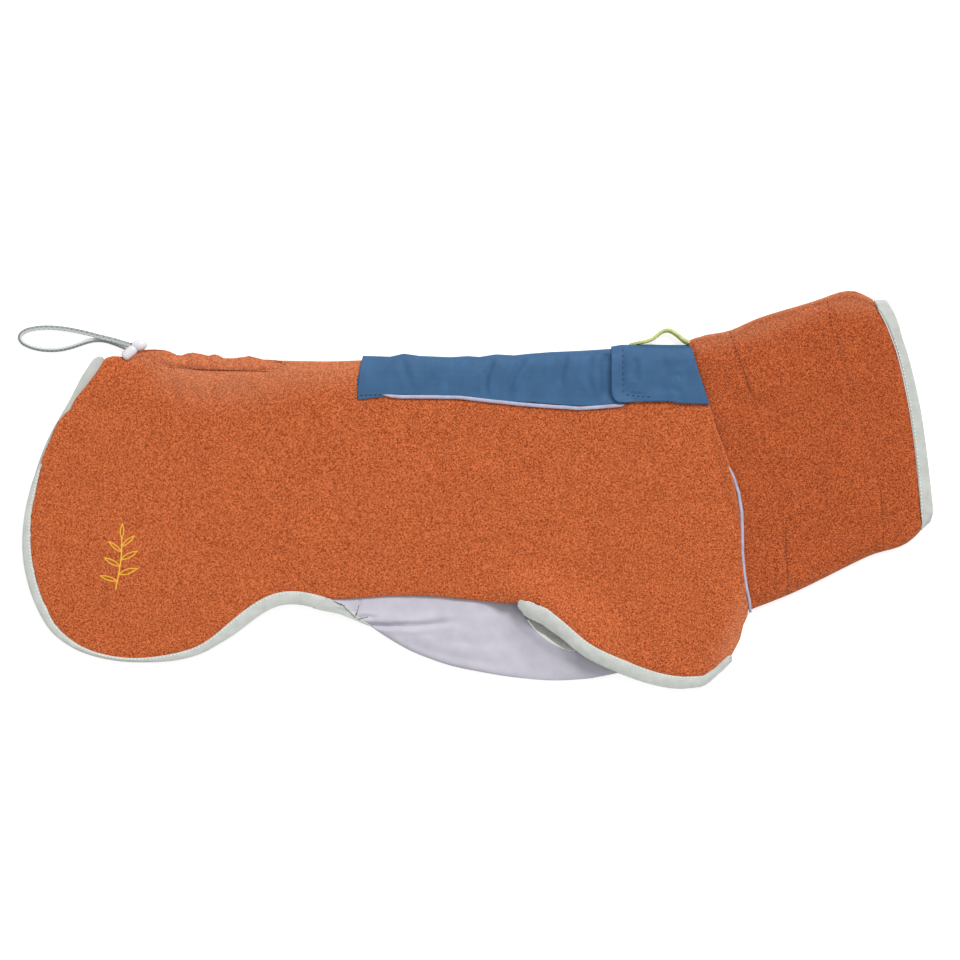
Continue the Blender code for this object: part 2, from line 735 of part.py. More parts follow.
def make_seam_piping():
    """Piping in the lower half of the collar seam, above and below."""
    line = Line([(x, y) for x, y, room in COLLAR_SEAM if room > 1.0])
    path = line.samples(12)
    tube("seam_piping_near", path[1:-1], LAID_TOP - 0.4, 1.5)
    tube("seam_piping_far", path[1:-1], 1.7, 1.5)


def make_casing():
    """The gathered drawcord tunnel along the back near the tail."""
    start, end = CASING[0][0], CASING[-1][0]
    rings = []
    for index in range(CASING_COLUMNS + 1):
        x = mix(start, end, index / CASING_COLUMNS)
        rise = read(CASING, x, 1)
        insets = (CASING_REACH, FOLD_STEPS[2], FOLD_STEPS[1], FOLD_STEPS[0])
        faces = []
        for out in (1.0, 0.0):
            points = []
            for side, face in ((1.0, LAID_TOP), (-1.0, 0.0)):
                part = []
                for inset in insets:
                    swell = mix(CASING_WALL, rise - GAP, 1.0 - inset / CASING_REACH)
                    depth = -SADDLE_GAP - out * max(swell, CASING_WALL)
                    place = Vector((x, spine_height(x) - inset))
                    point = laid_point(place, depth, face, MIDDLE, 0.0, BODY_FOLDS)
                    point.z = max(point.z, 0.0) if side < 0.0 else point.z
                    part.append(point)
                points.append(part)
            faces.append(points[0] + points[1][-2::-1])
        rings.append(wall_ring(*faces))
    loft("drawcord_casing", rings, "fleece")


def make_drawcord():
    """The elastic cord's free loop."""
    curve = bpy.data.curves.new("drawcord", "CURVE")
    curve.dimensions = "3D"
    curve.bevel_depth = CORD_DIAMETER / 2.0 * MM
    curve.bevel_resolution = 2
    curve.use_fill_caps = True
    points = Line(CORD_ROUTE).samples(CORD_POINTS)
    spline = curve.splines.new("POLY")
    spline.points.add(len(points) - 1)
    for spot, point in zip(spline.points, points):
        spot.co = (*(point * MM), 1.0)
    curve.materials.append(own_finish("drawcord", "cord_sheath"))
    bpy.context.scene.collection.objects.link(bpy.data.objects.new("drawcord", curve))


def turned(node, start, end, profile, finish_name):
    """A solid turned about the line from start to end; profile rows are share along, radius."""
    sides = 16
    start, end = Vector(start), Vector(end)
    along = (end - start).normalized()
    across = along.cross(Vector((0.0, 0.0, 1.0))).normalized()
    upward = across.cross(along)
    shape = bmesh.new()
    loops = []
    for share, radius in profile:
        centre = start.lerp(end, share)
        loop = []
        for index in range(sides):
            angle = math.tau * index / sides
            spot = centre + (across * math.cos(angle) + upward * math.sin(angle)) * radius
            loop.append(shape.verts.new(spot * MM))
        loops.append(loop)
    for one, two in zip(loops, loops[1:]):
        for index in range(sides):
            after = (index + 1) % sides
            shape.faces.new((one[index], one[after], two[after], two[index]))
    shape.faces.new(loops[0])
    shape.faces.new(loops[-1])
    bmesh.ops.recalc_face_normals(shape, faces=shape.faces)
    mesh = bpy.data.meshes.new(node)
    shape.to_mesh(mesh)
    shape.free()
    return add_object(node, mesh, finish_name)


def make_cord_lock():
    """The moulded toggle: a barrel and its sprung button."""
    radius = BARREL_RADIUS
    barrel = [(0.0, 0.62 * radius), (0.10, 0.9 * radius), (0.25, radius), (0.72, radius),
              (0.88, 0.92 * radius), (1.0, 0.7 * radius)]
    turned("cord_lock", BARREL_TAIL, BARREL_HEAD, barrel, "moulded_plastic")
    centre = Vector(BUTTON_CENTRE)
    axis = Vector((math.cos(BUTTON_TILT), math.sin(BUTTON_TILT), 0.0)) * BUTTON_HALF_LENGTH
    steps = 8
    ball = []
    for index in range(1, steps):
        angle = math.pi * index / steps
        ball.append(((1.0 - math.cos(angle)) / 2.0, BUTTON_RADIUS * math.sin(angle)))
    turned("cord_lock_button", centre - axis, centre + axis, ball, "moulded_plastic")


def make_hanging_loop():
    """A stitched loop of tape that stands off the back, open beneath."""
    path = Line(LOOP_PATH).samples(22)
    rings = []
    for place, way in zip(path, outward(path)):
        low, high = place + way * LOOP_HALF_THICKNESS, place - way * LOOP_HALF_THICKNESS
        rings.append([
            (low.x, low.y, LOOP_LOW), (low.x, low.y, LOOP_HIGH),
            (high.x, high.y, LOOP_HIGH), (high.x, high.y, LOOP_LOW),
        ])
    loft("hanging_loop", rings, "loop_tape")


def main():
    clear_scene()
    places = side_places()
    edge = cut_edge(places)
    make_sides(places)
    make_hem_bindings(edge)
    make_lobe_bindings(edge)
    make_belly_panel()
    make_belly_bindings()
    make_collar()
    make_back()
    make_seam_piping()
    make_casing()
    make_drawcord()
    make_cord_lock()
    make_hanging_loop()


main()
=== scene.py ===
# %% [markdown]
# # A dog's fleece sweater, laid flat on one side
# The construction is already made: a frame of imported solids, one for each cut or sewn piece. This
# notebook dresses that frame. Each cloth starts as a copy of its solid, is made finer, and is then
# pressed and puckered where the real cloth is. Lengths in the tables are in millimetres, and the
# meshes are in metres.

# %% Load the frame
import math

import bmesh
import bpy
import numpy as np
from mathutils import Matrix, Vector, noise
from mathutils.bvhtree import BVHTree


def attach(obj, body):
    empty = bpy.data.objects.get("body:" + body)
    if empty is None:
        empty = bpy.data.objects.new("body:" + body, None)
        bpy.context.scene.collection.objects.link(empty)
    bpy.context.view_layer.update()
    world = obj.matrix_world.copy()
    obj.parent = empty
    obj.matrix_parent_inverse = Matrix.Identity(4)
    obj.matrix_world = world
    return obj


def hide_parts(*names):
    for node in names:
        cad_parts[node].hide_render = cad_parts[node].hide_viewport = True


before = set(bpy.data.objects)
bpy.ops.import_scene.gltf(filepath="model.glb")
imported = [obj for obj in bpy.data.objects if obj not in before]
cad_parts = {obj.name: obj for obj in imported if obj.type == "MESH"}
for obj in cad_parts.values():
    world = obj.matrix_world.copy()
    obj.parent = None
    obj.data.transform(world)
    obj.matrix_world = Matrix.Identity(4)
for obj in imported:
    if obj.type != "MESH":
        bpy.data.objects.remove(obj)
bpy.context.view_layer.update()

MM = 0.001
print("frame nodes:", len(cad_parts))

# %% [markdown]
# ## Small helpers
# Four helpers serve every finish. One turns a colour from a swatch book, written as an sRGB hex value,
# into the linear light that a shader works in. One adds a node with its settings and links. One starts
# a finish on Blender's general shader, and one puts two colours on a pattern's low and high places.


# %% Colour and nodes
def srgb(code):
    """A linear colour with alpha from a hex value such as C3623C."""
    shades = [int(code[index:index + 2], 16) / 255.0 for index in (0, 2, 4)]
    linear = [v / 12.92 if v <= 0.04045 else ((v + 0.055) / 1.055) ** 2.4 for v in shades]
    return (*linear, 1.0)


def add_node(tree, kind, inputs=None, **settings):
    """Adds a node, sets its settings, and fills its inputs with values or links them."""
    node = tree.nodes.new(kind)
    for name, value in settings.items():
        setattr(node, name, value)
    for name, value in (inputs or {}).items():
        if isinstance(value, bpy.types.NodeSocket):
            tree.links.new(value, node.inputs[name])
        else:
            node.inputs[name].default_value = value
    return node


def new_finish(name, **sockets):
    """An empty finish: its material, node tree and shader, with plain sockets set directly."""
    material = bpy.data.materials.new(name)
    material.use_nodes = True
    tree = material.node_tree
    shader = tree.nodes["Principled BSDF"]
    for socket, value in sockets.items():
        shader.inputs[socket.replace("_", " ")].default_value = value
    return material, tree, shader


def blend_colours(tree, share, low, high, spread=0.16):
    """A ramp between two colours, driven by a pattern's value about one half."""
    ramp = add_node(tree, "ShaderNodeValToRGB", {"Fac": share})
    ramp.color_ramp.elements[0].position = 0.5 - spread
    ramp.color_ramp.elements[1].position = 0.5 + spread
    ramp.color_ramp.elements[0].color = low
    ramp.color_ramp.elements[1].color = high
    return ramp.outputs["Color"]


# %% [markdown]
# ## The camera
# The sweater is seen from straight above, so a long lens high over the middle of the cloth keeps the
# view flat. An orthographic camera would do it too, but a long lens keeps a trace of depth.

# %% Camera
VIEW_WIDTH = 720.0
CAMERA_HEIGHT = 6.0
CAMERA_PLACE = (2.25, 7.9)
CLOTH_HEIGHT = 8.0

lens = bpy.data.cameras.new("camera")
lens.sensor_width = 36.0
lens.lens = lens.sensor_width * (CAMERA_HEIGHT - CLOTH_HEIGHT * MM) / (VIEW_WIDTH * MM)
lens.clip_end = 50.0
camera = bpy.data.objects.new("camera", lens)
camera.location = (CAMERA_PLACE[0] * MM, CAMERA_PLACE[1] * MM, CAMERA_HEIGHT)
bpy.context.scene.collection.objects.link(camera)
bpy.context.scene.camera = camera
print("lens:", round(lens.lens, 1), "mm")

# %% [markdown]
# ## The drawcord
# An elastic cord about 3.5 mm thick runs in a loop out of the cord lock and back. A bevelled curve is
# the plain way to make it, because the curve's own line is the cord's true length, and the bevel gives
# a map along and around the cord for its braid. It follows the frame's cord, from the lock out past
# the tail and back.

# %% Drawcord
CORD_DIAMETER = 3.5
CORD_ROUTE = [  # x, y, z
    (-259.8, 109.3, 4.9), (-264.4, 110.5, 4.9), (-271.2, 112.6, 4.8), (-283.3, 115.6, 4.6),
    (-293.3, 118.2, 3.8), (-303.4, 120.4, 2.4), (-312.8, 121.8, 1.8), (-323.5, 122.4, 1.8),
    (-332.5, 121.6, 1.8), (-339.8, 119.4, 1.8), (-343.0, 115.9, 1.8), (-341.9, 112.0, 1.8),
    (-337.6, 109.1, 1.8), (-330.6, 106.7, 1.8), (-321.5, 105.6, 1.8), (-312.8, 106.0, 1.8),
    (-304.7, 107.8, 1.8), (-297.4, 110.2, 1.8), (-291.3, 112.1, 1.8), (-286.0, 113.0, 1.8),
    (-279.9, 112.7, 1.8), (-273.2, 110.9, 1.9), (-267.0, 108.5, 2.6), (-262.4, 106.6, 3.4),
]


def round_cord(name, route, diameter):
    """A bevelled curve, smooth through its points."""
    line = bpy.data.curves.new(name, "CURVE")
    line.dimensions = "3D"
    line.bevel_depth = diameter / 2.0 * MM
    line.bevel_resolution = 4
    line.use_fill_caps = True
    spline = line.splines.new("BEZIER")
    spline.resolution_u = 8
    spline.bezier_points.add(len(route) - 1)
    for knot, place in zip(spline.bezier_points, route):
        knot.co = Vector(place) * MM
        knot.handle_left_type = "AUTO"
        knot.handle_right_type = "AUTO"
    cord = bpy.data.objects.new(name, line)
    bpy.context.scene.collection.objects.link(cord)
    return cord


elastic_cord = round_cord("elastic_cord", CORD_ROUTE, CORD_DIAMETER)

# %% [markdown]
# ## From a solid to a cloth
# A cloth needs many small faces before it can show a crease. The frame's solid already has the cut,
# the folds and the wall, so a copy of its mesh is merged into quads and smoothed by Subdivision
# Surface, with its cut edges held sharp. The wide cloths are smoothed twice. Their solids have long
# faces, which would streak a crease, so once the outline is round, the level parts are cut anew into
# even cells and then smoothed again. A cloth simulation could make the creases, but it wouldn't put
# them where these are, so they are pressed in afterwards.


# %% Fine cloth from a node
MERGE_DISTANCE = 0.00001
CUT_EDGE_ANGLE = math.radians(50.0)
LEVEL_ANGLE = math.radians(1.0)
QUAD_FACE_ANGLE = math.radians(25.0)
QUAD_CORNER_ANGLE = math.radians(60.0)


def merged_copy(node):
    """A bmesh of a node with its loose triangles joined into quads."""
    shape = bmesh.new()
    shape.from_mesh(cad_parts[node].data)
    bmesh.ops.remove_doubles(shape, verts=shape.verts, dist=MERGE_DISTANCE)
    bmesh.ops.join_triangles(
        shape, faces=shape.faces,
        angle_face_threshold=QUAD_FACE_ANGLE, angle_shape_threshold=QUAD_CORNER_ANGLE)
    shape.normal_update()
    return shape


def link_mesh(name, shape):
    """Makes a bmesh an object in the scene, and frees it."""
    mesh = bpy.data.meshes.new(name)
    shape.to_mesh(mesh)
    shape.free()
    piece = bpy.data.objects.new(name, mesh)
    bpy.context.scene.collection.objects.link(piece)
    return piece


def bake_modifiers(piece):
    """Puts what the modifiers make into the mesh itself."""
    graph = bpy.context.evaluated_depsgraph_get()
    mesh = bpy.data.meshes.new_from_object(piece.evaluated_get(graph))
    piece.modifiers.clear()
    piece.data = mesh
    return piece


def cut_in_cells(shape, cell):
    """Joins level faces, and cuts them anew into even cells, so that creases show anywhere."""
    bmesh.ops.dissolve_limit(shape, angle_limit=LEVEL_ANGLE, edges=shape.edges, verts=[])
    for axis in (0, 1):
        ends = [vert.co[axis] for vert in shape.verts]
        direction = Vector((float(axis == 0), float(axis == 1), 0.0))
        for place in np.arange(min(ends) + 0.5 * cell * MM, max(ends), cell * MM):
            bmesh.ops.bisect_plane(
                shape, geom=shape.verts[:] + shape.edges[:] + shape.faces[:],
                dist=MERGE_DISTANCE, plane_co=direction * place, plane_no=direction)
    shape.normal_update()


def smooth_piece(name, shape, levels):
    """Makes a bmesh a piece, smooth but for its cut edges."""
    held = shape.edges.layers.float.get("crease_edge") or shape.edges.layers.float.new("crease_edge")
    for edge in shape.edges:
        edge[held] = float(edge.calc_face_angle(0.0) > CUT_EDGE_ANGLE)
    piece = link_mesh(name, shape)
    smoothing = piece.modifiers.new("smoothing", "SUBSURF")
    smoothing.levels = levels
    smoothing.render_levels = levels
    return bake_modifiers(piece)


def fine_cloth(node, name, levels, cell=None):
    """A finer copy of a node's solid. With a cell size its level parts get even faces."""
    if not cell:
        return smooth_piece(name, merged_copy(node), levels)
    rounded = smooth_piece(name + "_rounded", merged_copy(node), 1)
    shape = bmesh.new()
    shape.from_mesh(rounded.data)
    bpy.data.objects.remove(rounded)
    cut_in_cells(shape, cell)
    return smooth_piece(name, shape, levels)


# %% [markdown]
# Creases, dips and puckers are all moves of the cloth's points. Each is measured from a path on the
# cloth: how far a point is from the path, and how far along the path it lies. The points are handled
# as one array, because a cloth has tens of thousands of them.


# %% Points and paths
def read_points(piece):
    """All of a mesh's points, in millimetres."""
    points = np.empty(len(piece.data.vertices) * 3)
    piece.data.vertices.foreach_get("co", points)
    return points.reshape(-1, 3) / MM


def write_points(piece, points):
    """Puts the points back and shades the mesh smooth but for its cut edges."""
    piece.data.vertices.foreach_set("co", (points * MM).ravel())
    piece.data.update()
    piece.data.shade_smooth()
    piece.data.set_sharp_from_angle(angle=CUT_EDGE_ANGLE)
    return piece


def near_path(places, path):
    """For every place: its distance from the path, the share along it, and the nearest point."""
    path = np.array(path, float)[:, :2]
    runs = np.linalg.norm(np.diff(path, axis=0), axis=1)
    before = np.concatenate([[0.0], np.cumsum(runs)])
    distance = np.full(len(places), 1.0e9)
    share = np.zeros(len(places))
    foot = np.zeros((len(places), 2))
    for start, end, run, passed in zip(path, path[1:], runs, before):
        leg = end - start
        along = np.clip((places - start) @ leg / (leg @ leg), 0.0, 1.0)
        spot = start + along[:, None] * leg
        gap = np.linalg.norm(places - spot, axis=1)
        closer = gap < distance
        distance[closer] = gap[closer]
        share[closer] = (passed + along[closer] * run) / before[-1]
        foot[closer] = spot[closer]
    return distance, share, foot


def rise(values, start, end):
    """0 before start, 1 after end, and a smooth rise between, for a whole array."""
    share = np.clip((values - start) / (end - start), 0.0, 1.0)
    return share * share * (3.0 - 2.0 * share)


# %% Moves up and down
CREASE_SIDE, CREASE_SIDE_PLACE = 0.35, 2.1  # how the cloth swells beside a crease, and how far out
CREASE_TAPER, CREASE_END = 6.0, 0.05


def press(points, creases, weight):
    """Presses troughs into the cloth, or lifts ridges where the depth is below zero."""
    for depth, width, path in creases:
        distance, share, _ = near_path(points[:, :2], path)
        taper = np.minimum(1.0, CREASE_TAPER * share * (1.0 - share) + CREASE_END)
        away = distance / width
        profile = np.exp(-away ** 2) - CREASE_SIDE * np.exp(-(away - CREASE_SIDE_PLACE) ** 2)
        points[:, 2] -= weight * depth * taper * profile


def dip_to(points, path, depth, reach, weight):
    """Pulls the cloth down toward a sewn edge, as stitches do."""
    distance, _, _ = near_path(points[:, :2], path)
    points[:, 2] -= weight * depth * np.clip(1.0 - distance / reach, 0.0, 1.0) ** 2


def lumps(points, size, height, weight, seed=0.0):
    """Uneven swelling of that lump size and height, the same for all that lie on one place."""
    for index in np.flatnonzero(weight > 0.01):
        spot = Vector((points[index, 0] / size, points[index, 1] / size, seed))
        points[index, 2] += weight[index] * height * noise.noise(spot)


def raise_by(points, path, height, reach, weight=1.0):
    """Lifts the cloth along a path."""
    distance, _, _ = near_path(points[:, :2], path)
    points[:, 2] += weight * height * (1.0 - rise(distance, 0.0, reach))


# %% Even places along a path
EASING_PASSES = 40


def shares_of(path):
    """The share of a path's length at each of its places."""
    runs = np.linalg.norm(np.diff(np.array(path, float)[:, :2], axis=0), axis=1)
    along = np.concatenate([[0.0], np.cumsum(runs)])
    return along / along[-1]


def even_path(path, step):
    """Places a step apart along a path whose corners are eased."""
    path = np.array(path, float)[:, :2]
    length = np.linalg.norm(np.diff(path, axis=0), axis=1).sum()
    share = np.linspace(0.0, 1.0, max(int(length), 4))
    fine = np.stack([np.interp(share, shares_of(path), path[:, axis]) for axis in (0, 1)], axis=1)
    for _ in range(EASING_PASSES):
        fine[1:-1] = (fine[:-2] + fine[1:-1] * 2.0 + fine[2:]) / 4.0
    share = np.linspace(0.0, 1.0, max(int(length / step), 2))
    return np.stack([np.interp(share, shares_of(fine), fine[:, axis]) for axis in (0, 1)], axis=1)


def beside_path(path, distance):
    """The path moved to its right by a distance."""
    slope = np.gradient(path, axis=0)
    slope = slope / np.linalg.norm(slope, axis=1)[:, None]
    return path + distance * np.stack([slope[:, 1], -slope[:, 0]], axis=1)


# %% Moves along the cloth
BAND_WIDTH = 12.0


def draw(points, pulls, reach):
    """Draws the cloth a little way; each row is a place on a path, and how far in x and in y."""
    rows = np.array(pulls, float)
    distance, share, _ = near_path(points[:, :2], rows)
    at = shares_of(rows)
    fall = 1.0 - rise(distance, 0.0, reach)
    for axis in (0, 1):
        points[:, axis] += fall * np.interp(share, at, rows[:, 2 + axis])


def paint_highlight(piece, strokes):
    """Marks a painted highlight, where the fleece is painted paler along a fold; each stroke is
    amount, reach and path.
    """
    points = read_points(piece)
    values = np.zeros(len(points))
    for amount, reach, path in strokes:
        distance, _, _ = near_path(points[:, :2], path)
        values = np.maximum(values, amount * (1.0 - rise(distance, 0.0, reach)))
    piece.data.attributes.new("painted_highlight", "FLOAT", "POINT").data.foreach_set("value", values)


def round_end(points, end, toward, extra, reach, radius):
    """Draws a band's cut end out by extra, and rounds it like a turned tape."""
    toward = np.array(toward, float) / np.linalg.norm(toward)
    offset = points[:, :2] - np.array(end)
    ahead = offset @ toward
    near = (ahead > -reach) & (np.linalg.norm(offset, axis=1) < reach + BAND_WIDTH)
    stretch = 1.0 + np.minimum(ahead[near], 0.0) / reach
    points[near, :2] += toward * ((extra + 0.8 * radius) * stretch)[:, None]
    centre = np.array(end) + toward * (extra - radius)
    offset = points[:, :2] - centre
    away = np.linalg.norm(offset, axis=1)
    tip = near & (offset @ toward > 0.0) & (away > radius)
    points[tip, :2] = centre + offset[tip] * (radius / away[tip])[:, None]


def relay(points, old, new):
    """Lays a band along a new path. Rows are x, y, width, low and high, for old and new."""
    old, new = np.array(old, float), np.array(new, float)
    _, share, foot = near_path(points[:, :2], old)
    was = [np.interp(share, shares_of(old), old[:, column]) for column in range(5)]
    now = [np.interp(share, shares_of(new), new[:, column]) for column in range(5)]
    ways = []
    for rows in (old, new):
        slope = np.gradient(rows[:, :2], axis=0)
        slope = slope / np.linalg.norm(slope, axis=1)[:, None]
        right = np.stack([slope[:, 1], -slope[:, 0]], axis=1)
        at = shares_of(rows)
        ways.append(np.stack([np.interp(share, at, right[:, axis]) for axis in (0, 1)], axis=1))
    side = np.sum((points[:, :2] - foot) * ways[0], axis=1) / was[2]
    up = (points[:, 2] - was[3]) / (was[4] - was[3])
    points[:, 0] = now[0] + ways[1][:, 0] * side * now[2]
    points[:, 1] = now[1] + ways[1][:, 1] * side * now[2]
    points[:, 2] = now[3] + up * (now[4] - now[3])


# %% Cut edges of the frame's cloths
FACES_UP, FACES_OUT = 0.7, 0.5


def cut_rims(node):
    """The runs of a cloth's cut edge on top, each as a list of (x, y) places, longest first."""
    shape = merged_copy(node)
    beside = {}
    for edge in shape.edges:
        if len(edge.link_faces) != 2:
            continue
        out, up = sorted(face.normal.z for face in edge.link_faces)
        level = up > FACES_UP and abs(out) < FACES_OUT
        if level and edge.calc_face_angle(0.0) > CUT_EDGE_ANGLE:
            for start, end in (edge.verts, reversed(edge.verts)):
                beside.setdefault(start, []).append(end)
    rims = []
    while beside:
        ends = [vert for vert in beside if len(beside[vert]) == 1]
        vert = min(ends or beside, key=lambda v: (v.co.x, v.co.y))
        rim = [vert]
        while vert in beside:
            onward = [other for other in beside.pop(vert) if other in beside]
            if not onward:
                break
            vert = onward[0]
            rim.append(vert)
        if len(rim) > 2:
            rims.append([(v.co.x / MM, v.co.y / MM) for v in rim])
    shape.free()
    return sorted(rims, key=len, reverse=True)


HEM_RIM = even_path(cut_rims("side_near")[0], 2.0)
print("cut edge of a side:", len(HEM_RIM), "places")

# %% [markdown]
# ## Fleece
# The body and collar are polyester fleece: a knit whose face is brushed and sheared into a nap of
# little curls. It has no gloss, it is lighter on the tips of the curls than between them, and its
# loose fibres catch light at grazing angles, which is what sheen is for. Its colour is also painted
# paler at grazing angles, as painted sheen. The curls are about a millimetre across. They are drawn
# as noise in object space, so that they are the same size on every piece. Along the top folds, an
# attribute of the piece paints a paler highlight where the light falls.

# %% Fleece finish
CURL = 1.0
NAP_HEIGHT = 0.8
CURL_SPREAD = 0.09
DAPPLE = 26.0
PAINTED_SHEEN = 0.55
SHEEN_COLOUR = "F2B08A"


def fleece_finish(name, tips, between):
    """Sheared polyester fleece: curls in colour and bump, a faint uneven lie of the nap, and a paler
    colour painted as sheen at grazing angles and as highlight along folds.
    """
    material, tree, shader = new_finish(
        name, Roughness=0.95, Specular_IOR_Level=0.15, Sheen_Weight=0.7, Sheen_Roughness=0.35,
        Sheen_Tint=srgb(SHEEN_COLOUR))
    place = add_node(tree, "ShaderNodeTexCoord").outputs["Object"]
    curls = add_node(tree, "ShaderNodeTexNoise", {
        "Vector": place, "Scale": 1.0 / (CURL * MM), "Detail": 1.5, "Roughness": 0.6,
        "Distortion": 1.1})
    dapple = add_node(tree, "ShaderNodeTexNoise", {
        "Vector": place, "Scale": 1.0 / (DAPPLE * MM), "Detail": 4.0, "Roughness": 0.6})
    colour = blend_colours(tree, curls.outputs["Fac"], srgb(between), srgb(tips), CURL_SPREAD)
    shift = add_node(tree, "ShaderNodeMapRange", {
        "Value": dapple.outputs["Fac"], "From Min": 0.3, "From Max": 0.7,
        "To Min": 0.965, "To Max": 1.035})
    dappled = add_node(tree, "ShaderNodeVectorMath", {0: colour, "Scale": shift.outputs["Result"]},
                       operation="SCALE")
    # Painted sheen: the colour is mixed toward the paler sheen colour at grazing angles, and where the
    # painted highlight is marked.
    slant = add_node(tree, "ShaderNodeLayerWeight", {"Blend": 0.3}).outputs["Facing"]
    painted_highlight = add_node(tree, "ShaderNodeAttribute", attribute_name="painted_highlight").outputs["Fac"]
    painted_sheen_share = add_node(tree, "ShaderNodeMath", {0: slant, 1: PAINTED_SHEEN, 2: painted_highlight},
                     operation="MULTIPLY_ADD")
    seen = add_node(tree, "ShaderNodeMix", {  # 6 and 7 are its two colour sockets
        "Factor": painted_sheen_share.outputs[0], 6: dappled.outputs["Vector"], 7: srgb(SHEEN_COLOUR)},
        data_type="RGBA")
    bump = add_node(tree, "ShaderNodeBump", {
        "Strength": 1.0, "Distance": NAP_HEIGHT * MM, "Height": curls.outputs["Fac"]})
    tree.links.new(seen.outputs[2], shader.inputs["Base Color"])
    tree.links.new(bump.outputs["Normal"], shader.inputs["Normal"])
    return material


BODY_FLEECE = fleece_finish("body_fleece", "E67D4B", "994019")
COLLAR_FLEECE = fleece_finish("collar_fleece", "DA7140", "8C3818")

# %% [markdown]
# ## Woven, knitted and taped cloth
# The back panel is a tight plain-weave shell fabric, smooth and slightly shiny. The belly panel is a
# fine stretch knit with a satin face. The edges are bound with knitted tape, ribbed across. Their
# threads are finer than this view can show, so each is drawn a little coarse.

# %% Cloth finishes
WEAVE_THREAD = 0.9
KNIT_RIB = 1.1
TAPE_RIB = 1.4
BAND_SCALE = 0.314  # a wave texture of this scale has bands a unit apart
WRINKLE_BUMP = 3.0  # how high the soft wrinkles stand, threads being 1


def cloth_finish(name, light, dark, thread, bump_height, wrinkle=9.0, turn=0.0, **sockets):
    """A smooth cloth: crossed threads as bump, and soft unevenness in colour."""
    material, tree, shader = new_finish(name, Specular_IOR_Level=0.35, **sockets)
    place = add_node(tree, "ShaderNodeTexCoord").outputs["Object"]
    turned = add_node(tree, "ShaderNodeMapping", {"Vector": place, "Rotation": (0.0, 0.0, turn)})
    threads = []
    for direction in ("X", "Y"):
        wave = add_node(tree, "ShaderNodeTexWave", {
            "Vector": turned.outputs["Vector"], "Scale": BAND_SCALE / (thread * MM),
            "Distortion": 0.4, "Detail": 1.0}, bands_direction=direction)
        threads.append(wave.outputs["Fac"])
    weave = add_node(tree, "ShaderNodeMath", {0: threads[0], 1: threads[1]}, operation="ADD")
    soft = add_node(tree, "ShaderNodeTexNoise", {
        "Vector": place, "Scale": 1.0 / (wrinkle * MM), "Detail": 4.0, "Roughness": 0.55})
    colour = blend_colours(tree, soft.outputs["Fac"], srgb(dark), srgb(light))
    height = add_node(tree, "ShaderNodeMath", {
        0: soft.outputs["Fac"], 1: WRINKLE_BUMP, 2: weave.outputs[0]}, operation="MULTIPLY_ADD")
    bump = add_node(tree, "ShaderNodeBump", {
        "Strength": 0.5, "Distance": bump_height * MM, "Height": height.outputs[0]})
    tree.links.new(colour, shader.inputs["Base Color"])
    tree.links.new(bump.outputs["Normal"], shader.inputs["Normal"])
    return material


SHELL = cloth_finish("shell_fabric", "37628B", "31597F", WEAVE_THREAD, 0.10, 14.0,
                     Roughness=0.6, Sheen_Weight=0.03)
STRETCH = cloth_finish("stretch_knit", "C8C5D0", "BFBCC8", KNIT_RIB, 0.03, 12.0,
                       Roughness=0.6, Sheen_Weight=0.1)
TAPE = cloth_finish("binding_tape", "CED1CB", "C1C5BF", TAPE_RIB, 0.12, 7.0,
                    Roughness=0.8, Sheen_Weight=0.12)
# The foreleg tape's colour is painted paler than the binding tape's, as painted light against the
# lobe's shade.
PAINTED_LIGHT_TAPE = cloth_finish("foreleg_tape", "E2E5DE", "D2D6CE", TAPE_RIB, 0.2, 4.0,
                         Roughness=0.85, Sheen_Weight=0.1)
PIPING = cloth_finish("reflective_piping", "BDBBD0", "A9A7BF", 0.8, 0.08, 6.0,
                      Roughness=0.5, Sheen_Weight=0.05)
LOOP_TAPE = cloth_finish("woven_ribbon", "E2E89C", "BEC96E", 0.9, 0.2, 3.0,
                         Roughness=0.75, Sheen_Weight=0.1)

# %% [markdown]
# Thread, cord and the moulded lock are simpler. The cord's sheath is braided with reflective yarn:
# two sets of slanting strands that cross, read from the map along and around the cord. Two bands of
# painted shade run down the cord's sides.


# %% Thread, cord and plastic finishes
# Painted shade: darker bands down the sides of the round cord.
SIDE_SHADE_BANDS, SIDE_SHADE_SHARE = 2.0, 1.3


def thread_finish(name, colour, roughness=0.5):
    """Polyester sewing thread, slightly shiny."""
    material, tree, shader = new_finish(
        name, Base_Color=srgb(colour), Roughness=roughness, Sheen_Weight=0.1)
    place = add_node(tree, "ShaderNodeTexCoord").outputs["Object"]
    twist = add_node(tree, "ShaderNodeTexNoise", {
        "Vector": place, "Scale": 1.0 / (0.4 * MM), "Detail": 2.0})
    bump = add_node(tree, "ShaderNodeBump", {
        "Strength": 0.4, "Distance": 0.1 * MM, "Height": twist.outputs["Fac"]})
    tree.links.new(bump.outputs["Normal"], shader.inputs["Normal"])
    return material


